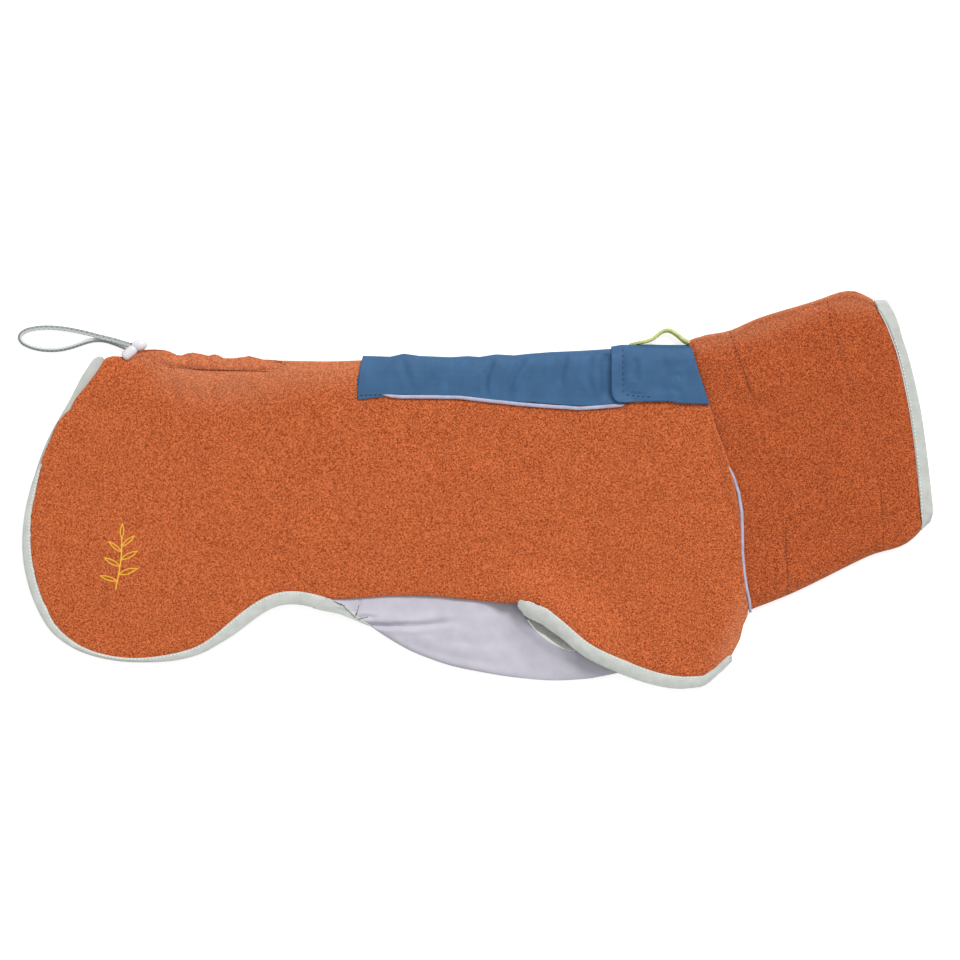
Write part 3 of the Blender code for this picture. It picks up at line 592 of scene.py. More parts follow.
def braid_finish(name, light, dark, strands_along, strands_round):
    """A braided sheath: slanting strands that cross, and painted shade in bands down each side."""
    material, tree, shader = new_finish(name, Roughness=0.42, Specular_IOR_Level=0.5,
                                        Sheen_Weight=0.1)
    across = add_node(tree, "ShaderNodeTexCoord").outputs["UV"]
    around = add_node(tree, "ShaderNodeSeparateXYZ", {"Vector": across}).outputs["Y"]
    # Painted shade: a cosine around the cord darkens its sides.
    turn = add_node(tree, "ShaderNodeMath", {0: around, 1: SIDE_SHADE_BANDS * math.tau},
                    operation="MULTIPLY")
    side_shade = add_node(tree, "ShaderNodeMath", {0: turn.outputs[0]}, operation="COSINE")
    heights = []
    for slant in (1.0, -1.0):
        spread = add_node(tree, "ShaderNodeVectorMath", {
            0: across, 1: (strands_along, slant * strands_round, 0.0)}, operation="DOT_PRODUCT")
        turns = add_node(tree, "ShaderNodeMath", {0: spread.outputs["Value"], 1: math.tau},
                         operation="MULTIPLY")
        wave = add_node(tree, "ShaderNodeMath", {0: turns.outputs[0]}, operation="SINE")
        heights.append(wave.outputs[0])
    braid = add_node(tree, "ShaderNodeMath", {0: heights[0], 1: heights[1]}, operation="MAXIMUM")
    mixed = add_node(tree, "ShaderNodeMath", {
        0: side_shade.outputs[0], 1: SIDE_SHADE_SHARE, 2: braid.outputs[0]}, operation="MULTIPLY_ADD")
    level = add_node(tree, "ShaderNodeMapRange", {
        "Value": mixed.outputs[0], "From Min": -1.6, "From Max": 2.2})
    colour = blend_colours(tree, level.outputs["Result"], srgb(dark), srgb(light), 0.22)
    bump = add_node(tree, "ShaderNodeBump", {
        "Strength": 0.6, "Distance": 0.25 * MM, "Height": level.outputs["Result"]})
    tree.links.new(colour, shader.inputs["Base Color"])
    tree.links.new(bump.outputs["Normal"], shader.inputs["Normal"])
    return material


def moulded_finish(name, colour):
    """Moulded polyamide: satin, with the faint mottle of a spark-eroded mould."""
    material, tree, shader = new_finish(name, Base_Color=srgb(colour), Roughness=0.34,
                                        Subsurface_Weight=0.1, Subsurface_Scale=0.002)
    place = add_node(tree, "ShaderNodeTexCoord").outputs["Object"]
    grain = add_node(tree, "ShaderNodeTexNoise", {
        "Vector": place, "Scale": 1.0 / (0.5 * MM), "Detail": 3.0})
    bump = add_node(tree, "ShaderNodeBump", {
        "Strength": 0.15, "Distance": 0.1 * MM, "Height": grain.outputs["Fac"]})
    tree.links.new(bump.outputs["Normal"], shader.inputs["Normal"])
    return material


PALE_THREAD = thread_finish("pale_thread", "EDEFE7")
BLUE_THREAD = thread_finish("blue_thread", "10284A", 0.7)
RUST_THREAD = thread_finish("rust_thread", "8E3F1D", 0.7)
# Seam thread, darker than the fleece, so that it is real stitching and also painted shade of the
# collar's seam grooves.
SEAM_THREAD_AND_SHADE = thread_finish("seam_thread_and_shade", "6A2C13", 0.8)
YELLOW_THREAD = thread_finish("yellow_thread", "F6C52F", 0.42)
BRAID = braid_finish("reflective_braid", "DFE2E1", "7D8385", 60.0, 2.0)
MOULDED = moulded_finish("moulded_polyamide", "E6E4E8")
# A dark finish for painted shade in hollows: the cord's hole and the belly panel's tucks.
PAINTED_SHADE_FINISH = moulded_finish("painted_gap_shade", "4A474F")


def dress(piece, finish, slot, *nodes):
    """Gives a piece its finish, and lets it stand for the nodes that it was made from."""
    piece.data.materials.clear()
    piece.data.materials.append(finish)
    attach(piece, "root")
    if nodes:
        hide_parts(*nodes)
    return piece


dress(elastic_cord, BRAID, "cord_sheath", "drawcord")

# %% [markdown]
# ## The fleece sides
# Left and right are cut from one pattern, mirrored. On the upper one the cloth is pulled down where it
# is sewn, at the binding, the belly and the collar. It has a stitched line under the drawcord casing
# with small gathers below, and a narrow roll beside the collar seam. The side beneath gets the same
# kind of creases, moved along a little, as no two sides crease alike.

# %% Creases of the sides
SIDE_CREASES = [  # depth, width, path
    (0.6, 1.8, [(-222.5, 94.8), (-208, 91.0), (-178, 90.2), (-160, 91.0), (-147, 92.4)]),
    (-0.9, 5.0, [(-236, 87), (-212, 82), (-182, 82), (-158, 85)]),
    (0.8, 3.0, [(-231, 91), (-228, 76), (-222, 60)]),
    (0.7, 3.2, [(-213, 89), (-214, 77), (-210, 66)]),
    (0.8, 3.0, [(-197, 88), (-199, 72), (-194, 58)]),
    (0.6, 3.0, [(-184, 88), (-182, 78), (-183, 68)]),
    (0.7, 3.4, [(-170, 88), (-172, 76), (-166, 66)]),
    (0.6, 3.0, [(-157, 89), (-154, 80), (-155, 71)]),
    (0.9, 3.6, [(-262, 92), (-268, 76), (-280, 60)]),
    (0.6, 3.0, [(-254, 90), (-254, 74), (-262, 58)]),
    (0.7, 4.0, [(-299, 66), (-288, 60), (-272, 62)]),
    (0.9, 4.0, [(-250, -116), (-236, -108), (-222, -104)]),
    (-0.7, 5.0, [(-240, -121), (-227, -113), (-213, -108)]),
    (0.9, 9.0, [(-172, -70), (-166, -48), (-152, -30)]),
    (0.6, 8.0, [(-318, -10), (-300, -22), (-282, -24)]),
    (0.7, 12.0, [(60, -70), (82, -62), (110, -66)]),
    (0.9, 4.0, [(126, -126), (128, -112), (124, -98)]),
    (-0.8, 6.0, [(140, -128), (144, -112), (142, -92)]),
    (1.0, 7.0, [(160, -126), (166, -108), (168, -86)]),
    (1.5, 2.2, [(172, 62), (176.3, 35.6), (181.5, 11.6), (186.4, -9.4), (190.5, -25.0), (193, -36)]),
    (-0.7, 2.6, [(167, 72), (175, 48), (183, 22), (190, -4), (194.5, -26)]),
    (0.8, 5.0, [(38, -66), (46, -54), (62, -46)]),
    (0.5, 10.0, [(-60, 20), (-20, 34), (26, 30)]),
    (0.5, 9.0, [(-8, -50), (30, -34), (74, -30)]),
    (1.5, 3.2, [(97.5, 106), (97.0, 88), (98.0, 66)]),
]
FAR_CREASE_SHIFT, FAR_CREASE_SHARE = 11.0, 0.6
HEM_PINCH, HEM_PINCH_REACH = 0.9, 4.5
SEAM_PINCH, SEAM_PINCH_REACH = 2.2, 6.0
COLLAR_SEAM_RIM = cut_rims("collar")[0]
MOUTH_RIM = even_path([rim for rim in cut_rims("collar") if rim[0][0] > 250.0][0], 2.0)
LOBE_RIM = HEM_RIM[HEM_RIM[:, 0] > 37.0]
RUMP_RIM = HEM_RIM[HEM_RIM[:, 0] < -111.0]

# %% Where the cloth is drawn to
SEAM_LINE = [  # x, y, room on each side
    (160.0, 107.0, 0.15), (165.5, 92.0, 0.15), (169.5, 80.0, 0.15), (174.5, 64.0, 0.15),
    (181.0, 46.0, 0.15), (186.5, 24.0, 2.3), (193.0, 5.0, 2.3), (197.3, -17.0, 2.3),
    (198.6, -38.0, 2.3), (200.5, -58.0, 2.3), (204.0, -76.0, 2.3), (205.5, -90.0, 2.3),
]
BODY_SEAM_PULL = [(x - room, y, room + 0.9, 0.0) for x, y, room in SEAM_LINE]
COLLAR_SEAM_PULL = [(x + room, y, -room - 0.9, 0.0) for x, y, room in SEAM_LINE]
COLLAR_CORNER_PULL = [(160.3, 109.5, -1.2, 2.8), (167, 115.2, -0.6, 1.8), (178, 117, 0, 0.8),
                      (190, 119, 0, 0)]
CHEST_PULL = [(203, -84, 0.5, 0), (202, -95, 1.0, 0), (200, -103, 2.0, -0.4),
              (195, -113, 2.2, -1.2), (189, -124, 1.4, -1.6), (182, -132, 0, 0)]
# Painted highlights: the fleece is painted paler along its top folds and the chest fold, where the
# light falls.
SIDE_PAINTED_HIGHLIGHTS = [  # amount, reach, path
    (0.20, 30.0, [(-228, 92), (-205, 84), (-176, 84), (-146, 92), (-92, 98)]),
    (0.26, 9.0, [(-146, 102), (-92, 102)]),
    (0.16, 17.0, [(205, -80), (199, -104), (184, -130)]),
]
SPINE = [(-270, 106), (-200, 104), (-120, 98), (-84, 98)]
TAIL_PULL = [(-290, 84, 0, 0), (-279, 98, 0.6, 1.6), (-272, 99, 0.4, 2.0), (-266, 98, 0, 1.6),
             (-258, 98, 0, 1.2), (-246, 99, 0, 0)]
RUMP_PULL = [(-284, 90, 0, 0), (-290.5, 80, -1.5, 0), (-298.5, 69, -3.6, 0.6),
             (-303.5, 61, -2.4, 0.4), (-307, 57, -4.4, 1.0), (-311, 50, -4.9, 1.2),
             (-319, 37, -1.8, 0.4), (-325, 25, -1.4, 0.2), (-330, 5, 0, 0)]
LOWER_LOBE_PULL = [(36, -86, 0, 0), (46, -97, -1.8, -2.6), (57, -107, -2.4, -3.2),
                   (68, -114, -1.4, -2.0), (80, -120, 0, 0)]
LOBE_LIFT_PATH = [(37, -83), (49, -90), (67, -104), (88, -120)]
LOBE_LIFT, LOBE_LIFT_REACH = 8.0, 34.0
SPINE_SINK, SPINE_SINK_REACH = 1.4, 28.0
LIE_SIZE, LIE_HEIGHT = 46.0, 0.8
NAP_LUMP, NAP_LUMP_HEIGHT = 5.5, 0.3
MOUTH_PULL = [(300, 140, 0, 0), (307, 124, 2.0, 0.5), (314, 104, 2.6, 0.6), (322, 78, 1.4, 0.2),
              (328, 45, 0.6, 0), (332, 0, 0, 0)]


def upper_face(points):
    """1 on the face that looks up, 0 on the inner face, for the layer that lies above."""
    return rise(points[:, 2], 6.2, 8.2)


def upper_layer(points):
    """1 on both faces of the layer that lies above, 0 where it turns down to its fold."""
    return rise(points[:, 2], 4.6, 6.0)


def lie_on_side(points, weight):
    """The uneven lie of the layer above, the same for all that is sewn to it."""
    lumps(points, LIE_SIZE, LIE_HEIGHT, weight)
    raise_by(points, LOBE_LIFT_PATH, LOBE_LIFT, LOBE_LIFT_REACH,
             weight * rise(points[:, 2], 5.6, 6.0))
    raise_by(points, SPINE, -SPINE_SINK, SPINE_SINK_REACH, weight * rise(points[:, 2], 5.0, 8.0))


def draw_side(points):
    """Closes the collar seam and settles the folds, alike on both sides."""
    draw(points, BODY_SEAM_PULL, reach=14.0)
    draw(points, CHEST_PULL, reach=16.0)
    draw(points, TAIL_PULL, reach=9.0)


def make_upper_side():
    """The side that lies above, creased and puckered."""
    piece = fine_cloth("side_near", "fleece_side_upper", levels=1, cell=5.0)
    points = read_points(piece)
    layer, face = upper_layer(points), upper_face(points)
    press(points, SIDE_CREASES, layer)
    dip_to(points, HEM_RIM, HEM_PINCH, HEM_PINCH_REACH, face)
    dip_to(points, COLLAR_SEAM_RIM, SEAM_PINCH, SEAM_PINCH_REACH, face)
    lie_on_side(points, layer)
    lumps(points, NAP_LUMP, NAP_LUMP_HEIGHT, np.ones(len(points)), seed=7.0)
    draw_side(points)
    draw(points, RUMP_PULL, reach=14.0)
    write_points(piece, points)
    # Painted highlight along the side's top folds.
    paint_highlight(piece, SIDE_PAINTED_HIGHLIGHTS)
    return dress(piece, BODY_FLEECE, "fleece", "side_near")


def make_lower_side():
    """The side that lies below, its creases pressed up from beneath."""
    piece = fine_cloth("side_far", "fleece_side_lower", levels=1, cell=9.0)
    points = read_points(piece)
    layer = 1.0 - rise(points[:, 2], 3.4, 4.0)
    moved = [(-depth, width, [(x + FAR_CREASE_SHIFT, y) for x, y in path])
             for depth, width, path in SIDE_CREASES if depth > 0.0]
    press(points, moved, FAR_CREASE_SHARE * layer)
    points[:, 2] = np.maximum(points[:, 2], 0.0)
    draw_side(points)
    draw(points, LOWER_LOBE_PULL, reach=16.0)
    write_points(piece, points)
    return dress(piece, BODY_FLEECE, "fleece", "side_far")


upper_side = make_upper_side()
lower_side = make_lower_side()
print("fleece sides:", len(upper_side.data.polygons), "and", len(lower_side.data.polygons), "faces")

# %% [markdown]
# ## The collar
# The turtleneck is one tube laid flat. It rolls down into the shoulder seam, more toward the throat.
# Two rows of stitching run round it, where its seam allowances are held inside. The nap hides them but
# for a faint groove, so only their ends near the folds get threads later, in a thread dark enough to
# stand as painted shade of the groove.

# %% Collar
COLLAR_CREASES = [  # depth, width, path
    (1.0, 1.6, [(188.0, 118.1), (205.5, 70.9), (220.0, 12.0), (228.0, -19.9), (232.4, -78.4)]),
    (1.0, 1.6, [(261.8, 142.9), (270.0, 110.0), (280.5, 67.9), (295.5, 27.4), (304.5, -19.9),
                 (304.8, -42.0)]),
    (0.9, 8.0, [(176, 80), (196, 66), (222, 60)]),
    (-0.7, 9.0, [(196, 28), (214, 34), (240, 30)]),
    (0.7, 9.0, [(256, 128), (280, 116), (296, 112)]),
    (0.8, 7.0, [(208, -72), (212, -56), (211, -34)]),
    (0.6, 10.0, [(246, -50), (268, -28), (292, -22)]),
    (-0.6, 10.0, [(236, 96), (262, 86), (300, 84)]),
]
COLLAR_CREST = [(166, 112), (212, 122), (262, 143), (300, 141)]
COLLAR_TOP_PULL = [(262, 141, 0, 0), (276, 147, 0, 1.4), (284, 148, 0, 1.9), (292, 145, 0, 1.0),
                   (301, 140, 0, 0)]
THROAT_PINCH = [(193.0, 5.0), (198.6, -38.0), (207.0, -88.0)]
UNDER_CREASE_SHIFT, UNDER_CREASE_SHARE = -9.0, 0.5


def make_collar():
    """The collar tube, upper and lower layer in one piece."""
    piece = fine_cloth("collar", "fleece_collar", levels=1, cell=4.0)
    points = read_points(piece)
    above = rise(points[:, 2], 4.8, 6.4)
    below = 1.0 - rise(points[:, 2], 2.8, 4.4)
    press(points, COLLAR_CREASES, above)
    moved = [(-depth, width, [(x + UNDER_CREASE_SHIFT, y) for x, y in path])
             for depth, width, path in COLLAR_CREASES[2:]]
    press(points, moved, UNDER_CREASE_SHARE * below)
    lumps(points, size=30.0, height=0.8, weight=above, seed=3.0)
    face = rise(points[:, 2], 6.8, 8.6)
    raise_by(points, COLLAR_CREST, height=-1.8, reach=24.0, weight=face)
    dip_to(points, COLLAR_SEAM_RIM, depth=2.1, reach=7.0, weight=face)
    dip_to(points, THROAT_PINCH, depth=1.0, reach=12.0, weight=face)
    dip_to(points, MOUTH_RIM, depth=1.0, reach=6.0, weight=face)
    points[:, 2] = np.maximum(points[:, 2], 0.0)
    lumps(points, NAP_LUMP, NAP_LUMP_HEIGHT, rise(points[:, 2], 1.0, 4.0), seed=9.0)
    draw(points, COLLAR_SEAM_PULL, reach=14.0)
    draw(points, COLLAR_CORNER_PULL, reach=9.0)
    draw(points, COLLAR_TOP_PULL, reach=9.0)
    draw(points, MOUTH_PULL, reach=22.0)
    write_points(piece, points)
    # Painted highlight along the collar's crest.
    paint_highlight(piece, [(0.16, 15.0, COLLAR_CREST)])
    return dress(piece, COLLAR_FLEECE, "fleece", "collar")


collar = make_collar()
print("collar:", len(collar.data.polygons), "faces")

# %% [markdown]
# ## The back panel and its tab
# A tight shell fabric is laid over the back seam, where rain falls, and turned under along its edges.
# Lavender piping is caught under its lower edges. The tab is a second layer at the collar end, with a
# rounded lower corner. It is stitched down only from a finger's width in, so that its end stands off
# the panel a little. Shell fabric creases sharply and in straight lines, not in soft rolls as fleece
# does.

# %% Creases and edges of the shell fabric
PANEL_CREASES = [  # depth, width, path
    (0.9, 1.9, [(14, 103), (7.0, 86), (5.8, 70)]),
    (-0.9, 2.4, [(18, 103), (11.0, 86), (9.8, 70)]),
    (0.8, 2.1, [(39, 104), (28, 87.5), (21.5, 69)]),
    (-0.8, 2.6, [(43.5, 104), (32.5, 87.5), (26, 69)]),
    (0.6, 1.9, [(68, 107), (64.5, 92), (62, 78)]),
    (-0.5, 2.2, [(72, 107), (68.5, 92), (66, 78)]),
    (0.6, 2.6, [(-58, 101), (-52, 84), (-50, 72)]),
    (0.5, 2.4, [(-14, 101), (-22, 86), (-23, 72)]),
    (2.0, 3.4, [(97.0, 106), (96.5, 88), (97.5, 66)]),
    (0.4, 2.4, [(86, 103), (82, 86), (88, 70)]),
]
TAB_CREASES = [  # depth, width, path
    (0.6, 1.2, [(109.4, 106), (109.2, 90), (109.5, 74)]),
    (0.9, 2.4, [(119.0, 100), (118.6, 90), (119.4, 80)]),
    (0.7, 1.3, [(113.7, 72.2), (116, 76), (119, 81)]),
    (0.5, 1.0, [(112.5, 71.6), (119, 70.6), (127, 70.1)]),
    (0.35, 2.6, [(139, 103), (141, 88), (137, 72)]),
    (0.4, 1.6, [(146, 84), (150, 87), (154, 84)]),
    (0.4, 2.0, [(140, 72), (146, 76), (152, 74), (150, 68)]),
]
PANEL_PULL = [  # its lower edge
    (-90, 67.5, 0, 1.2), (-66, 66.6, 0, 3.8), (-58, 67.3, 0, 4.3), (-35, 67.6, 0, 3.3),
    (-13, 68.2, 0, 2.7), (10, 66.8, 0, 1.1), (32, 64.4, 0, 1.2), (55, 62.4, 0, 1.7),
    (77, 61.3, 0, 0.9), (92, 61.3, 0, 1.1), (104, 61.3, 0, 2.2), (130, 61.5, 0, 4.0),
    (145, 62.0, 0, 4.2), (158, 63.0, 0, 1.3), (176, 63.0, 0, 0.6),
]
PANEL_CREST_PULL = [  # its fold over the back
    (-86, 98.5, 0, 2.2), (-65, 99.3, 0, 1.0), (-55, 99.6, 0, 3.1), (-43, 99.9, 0, 1.2),
    (-20, 100.4, 0, -0.2), (-7, 100.8, 0, 0.4), (2, 101, 0, -0.4), (14, 101.4, 0, 1.3),
    (28, 102, 0, 0.1), (40, 102.3, 0, 1.0), (56, 103, 0, 1.5), (77, 103.6, 0, 1.2),
    (98, 105, 0, 0.8), (170, 108, 0, 0),
]
PANEL_TAIL_PULL = [(-84, 102, -0.8, 0), (-85.5, 94, -2.0, 0), (-87, 85, -2.7, 0),
                   (-88.3, 76, -1.4, 0), (-89.2, 68.5, -0.2, 0)]
TAB_PULL = [  # its lower edge
    (100, 63, 0, 2.6), (112, 63.4, 0, 2.6), (130, 64.4, 0, 2.0), (144, 64.9, 0, 1.8),
    (152, 65.2, 0, 0.2), (175, 65.4, 0, -1.0),
]
COLLAR_END_PULL = [(160, 108, 1.6, 0), (165, 90, 1.5, 0), (172, 72, 1.4, 0), (176, 62, 1.4, 0)]
TAB_CREST_PULL = [(99, 106.5, 0, 1.2), (108, 106.8, 0, 2.2), (130, 108, 0, 1.4), (150, 109, 0, 0.4),
                  (162, 109, 0, 0)]
TAB_CORNER = (109.8, 74.2)
TAB_CORNER_RADIUS = 8.6
TAB_LIFT_PATH = [(100.8, 108), (100.8, 76), (104, 68), (111, 65)]

# %% Piping rows: x, y, width, low, high
PANEL_PIPING = [
    (-70.5, 71.9, 0.6, 9.0, 10.2), (-66, 71.0, 2.4, 8.8, 10.5), (-57, 70.3, 2.8, 8.8, 10.6),
    (-35, 70.3, 2.8, 8.8, 10.6), (-13, 69.9, 2.7, 8.8, 10.6), (10, 67.1, 2.8, 8.8, 10.6),
    (32, 64.9, 2.9, 8.8, 10.6), (55, 63.0, 2.9, 8.8, 10.6), (77, 61.6, 2.9, 8.8, 10.6),
    (92, 62.6, 2.9, 8.8, 10.6), (103, 63.5, 2.9, 8.8, 10.6), (108.5, 64.0, 2.8, 8.8, 10.6),
    (110.6, 64.4, 1.0, 8.9, 10.0),
]
SHOULDER_PIPING = [
    (185.4, 26.0, 0.4, 7.9, 8.6), (187.4, 21.0, 1.4, 7.4, 9.3), (192.4, 10.4, 2.4, 7.0, 9.8),
    (196.3, -2.1, 2.9, 6.9, 9.9), (198.6, -17.1, 3.0, 6.9, 9.9), (199.0, -32.1, 2.8, 6.9, 9.8),
    (199.2, -47.1, 2.6, 6.9, 9.7), (200.3, -59.6, 2.5, 6.8, 9.6), (202.0, -72.1, 2.5, 6.4, 9.3),
    (204.4, -82.1, 2.4, 5.6, 8.6), (205.2, -91.5, 2.0, 4.2, 7.0),
]
PIPING_WIDTH = 3.0
RING_GAP = 3.0
STACK_HEIGHT = 10.8
LOWER_SHARE, LOWER_THICKNESS = 0.35, 0.9  # heights under the cloth are squeezed to this share


# %% Panel and tab
def make_back_panel():
    """The shell fabric over the back."""
    piece = fine_cloth("back_panel", "shell_panel", levels=1, cell=3.2)
    points = read_points(piece)
    face = rise(points[:, 2], 6.8, 8.8)
    press(points, PANEL_CREASES, face)
    lie_on_side(points, upper_layer(points))
    lumps(points, size=9.0, height=0.25, weight=face, seed=5.0)
    draw(points, PANEL_PULL, reach=26.0)
    draw(points, PANEL_CREST_PULL, reach=9.0)
    draw(points, PANEL_TAIL_PULL, reach=7.0)
    draw(points, COLLAR_END_PULL, reach=10.0)
    write_points(piece, points)
    return dress(piece, SHELL, "shell_fabric", "back_panel")


def make_back_tab():
    """The second layer at the collar end, its lower corner rounded and its end standing off."""
    piece = fine_cloth("back_tab", "shell_tab", levels=1, cell=2.6)
    points = read_points(piece)
    face = rise(points[:, 2], 7.6, 9.6)
    press(points, TAB_CREASES, face)
    draw(points, TAB_PULL, reach=22.0)
    draw(points, TAB_CREST_PULL, reach=9.0)
    draw(points, COLLAR_END_PULL, reach=10.0)
    corner = np.array(TAB_CORNER)
    offset = points[:, :2] - corner
    away = np.linalg.norm(offset, axis=1)
    outside = (offset[:, 0] < 0.0) & (offset[:, 1] < 0.0) & (away > TAB_CORNER_RADIUS)
    points[outside, :2] = corner + offset[outside] * (TAB_CORNER_RADIUS / away[outside, None])
    lie_on_side(points, upper_layer(points))
    raise_by(points, TAB_LIFT_PATH, height=2.0, reach=8.0, weight=face)
    lumps(points, size=8.0, height=0.25, weight=face, seed=6.0)
    write_points(piece, points)
    return dress(piece, SHELL, "shell_fabric", "back_tab")


# %% Piping
def middle_line(node):
    """The line along the middle of a piping node, with its width and heights, as rows."""
    corners = np.array([vert.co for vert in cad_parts[node].data.vertices]) / MM
    corners = np.unique(np.round(corners, 2), axis=0)
    axis = 0 if np.ptp(corners[:, 0]) > np.ptp(corners[:, 1]) else 1
    corners = corners[np.argsort(corners[:, axis] if axis == 0 else -corners[:, axis])]
    gaps = np.flatnonzero(np.abs(np.diff(corners[:, axis])) > RING_GAP) + 1
    low, high = corners[:, 2].min(), corners[:, 2].max()
    rings = np.split(corners, gaps)
    return [(*ring.mean(axis=0)[:2], PIPING_WIDTH, low, high) for ring in rings]


def make_piping(node, name, rows, above):
    """Piping laid along its seam, pointed where it starts from under an edge."""
    piece = fine_cloth(node, name, levels=2)
    points = read_points(piece)
    if above:
        relay(points, middle_line(node), rows)
        lie_on_side(points, np.ones(len(points)))
    else:
        flipped = [(x, y, width, LOWER_SHARE * (STACK_HEIGHT - high),
                    LOWER_SHARE * (STACK_HEIGHT - low) + LOWER_THICKNESS)
                   for x, y, width, low, high in rows]
        relay(points, middle_line(node), flipped)
    write_points(piece, points)
    return dress(piece, PIPING, "piping", node)


back_panel = make_back_panel()
back_tab = make_back_tab()
pipings = [
    make_piping("back_piping_near", "panel_piping_upper", PANEL_PIPING, True),
    make_piping("back_piping_far", "panel_piping_lower", PANEL_PIPING, False),
    make_piping("seam_piping_near", "shoulder_piping_upper", SHOULDER_PIPING, True),
    make_piping("seam_piping_far", "shoulder_piping_lower", SHOULDER_PIPING, False),
]
print("back:", len(back_panel.data.polygons), "faces, tab:", len(back_tab.data.polygons))

# %% [markdown]
# ## The drawcord casing
# The casing is a strip of the same fleece over the back, gathered by the cord inside it. Its lower
# edges are stitched down flat, so that only a groove shows there, and the gathers run across it. Its
# ends are sewn into the back seam, so they sink away to nothing.

# %% Casing
CASING_SEAM = [(-252, 92.5), (-238.5, 93.8), (-219.8, 92.2), (-208.5, 90.2), (-177.8, 89.6),
               (-166.5, 90.6), (-154.5, 91.0), (-143.0, 92.0)]
GATHERS = [-244.5, -238.0, -231.5, -225.2, -218.0, -209.5, -201.0, -192.5, -186.0, -179.5, -172.0,
           -163.5, -155.0]
CASING_CREST = [  # x, y
    (-264, 98.5), (-260, 101.2), (-256, 104.2), (-252, 105.6), (-247.5, 105.9), (-242.3, 106.1),
    (-234.5, 105.6), (-230.3, 104.4), (-225.0, 101.9), (-221.7, 101.6), (-217.5, 103.2),
    (-213.1, 103.7), (-206.7, 102.7), (-201.3, 101.3), (-197.0, 102.4), (-194.0, 101.8),
    (-190.1, 99.6), (-183.1, 99.4), (-176.7, 100.2), (-171.3, 101.1), (-167.0, 100.2),
    (-160.6, 98.6), (-151.0, 98.0), (-144.0, 97.0),
]
CASING_START, CASING_END, CASING_STRETCH = -249.0, -146.0, 13.0
CASING_MIDDLE, CASING_SINK = 4.35, 2.6
GATHER_DEPTH, GATHER_WIDTH, GATHER_LEAN = 0.9, 1.7, 2.4


def crest_of(points, step=2.0):
    """How far a folded cloth reaches in y, for each step of x."""
    bins = np.round(points[:, 0] / step).astype(int)
    places = np.unique(bins)
    return places * step, np.array([points[bins == place, 1].max() for place in places])


def make_casing():
    """The gathered strip of fleece over the back."""
    piece = fine_cloth("drawcord_casing", "gathered_casing", levels=3)
    points = read_points(piece)
    points[:, 0] -= CASING_STRETCH * (1.0 - rise(points[:, 0], CASING_START, CASING_START + 24.0))
    layer = upper_layer(points)
    crest = np.interp(points[:, 0], *crest_of(points))
    wanted = np.interp(points[:, 0], *np.array(CASING_CREST).T)
    points[:, 1] += (wanted - crest) * rise(points[:, 1], crest - 9.0, crest - 1.0)
    folds = []
    for index, x in enumerate(GATHERS):
        lean = GATHER_LEAN * math.sin(index * 2.1)
        depth = GATHER_DEPTH + 0.35 * math.sin(index * 1.3)
        folds.append((depth, GATHER_WIDTH, [(x, 105), (x + lean, 91)]))
    press(points, folds, layer)
    moved = [(-depth, width, [(x - 6.0, y) for x, y in path]) for depth, width, path in folds]
    press(points, moved, 0.5 * (1.0 - layer) * rise(points[:, 1], 92.0, 98.0))
    dip_to(points, CASING_SEAM, depth=1.5, reach=4.0, weight=rise(points[:, 2], 6.8, 8.2))
    ends = 1.0 - rise(points[:, 0], CASING_START - CASING_STRETCH, CASING_START + 28.0)
    ends = np.maximum(ends, rise(points[:, 0], CASING_END - 14.0, CASING_END))
    points[:, 2] -= ends * np.sign(points[:, 2] - CASING_MIDDLE) * CASING_SINK
    lie_on_side(points, layer)
    points[:, 2] = np.maximum(points[:, 2], 0.0)
    lumps(points, NAP_LUMP, NAP_LUMP_HEIGHT, layer, seed=7.0)
    write_points(piece, points)
    # Painted highlight along the casing's seam.
    paint_highlight(piece, [(0.14, 30.0, CASING_SEAM)])
    return dress(piece, BODY_FLEECE, "fleece", "drawcord_casing")


casing = make_casing()
print("casing:", len(casing.data.polygons), "faces")

# %% [markdown]
# ## The belly panel
# The stretch panel under the chest is folded on the belly line. Its rear end is gathered a little
# where it meets the hem, and a few long folds run forward from there. Under the shoulder it slopes
# down, away from the lobe.

# %% Belly panel
BELLY_CREASES = [  # depth, width, path
    (1.6, 1.3, [(-110, -81), (-100.5, -86.0), (-94.5, -92)]),
    (1.1, 1.2, [(-87.5, -81), (-88.3, -86), (-91, -93)]),
    (0.9, 1.2, [(-92, -97), (-84.3, -94.6), (-76, -95)]),
    (1.5, 1.9, [(-88, -99.5), (-80.3, -101.2), (-65.6, -102), (-48, -101.8), (-34.7, -100.6),
                (-16, -97.5)]),
    (1.1, 1.3, [(-92, -100.6), (-80.3, -101.0), (-65, -101.3), (-50, -100.6)]),
    (-0.7, 3.0, [(-84, -94), (-66, -95.5), (-44, -96), (-20, -93)]),
    (0.5, 3.5, [(-30, -112), (0, -115), (26, -112), (44, -108)]),
    (0.4, 3.0, [(-6, -88), (14, -92), (30, -94)]),
    (0.6, 4.0, [(-62, -112), (-30, -122), (4, -129), (36, -131)]),
]
BELLY_REAR_PULL = [(-103.5, -81.0, -9, 1.2), (-98, -86, -5, 0), (-92, -91, -2, 0),
                   (-85, -97, 0, 0)]
FORELEG_RIM = [(34, -95), (40, -102), (48, -109), (60, -116.5), (72, -120)]
FORELEG_LINE = FORELEG_RIM + [(90, -129), (112, -136)]
BELLY_FALL, BELLY_FALL_REACH = 0.6, 24.0  # the share of its height lost, and how far from the lobe


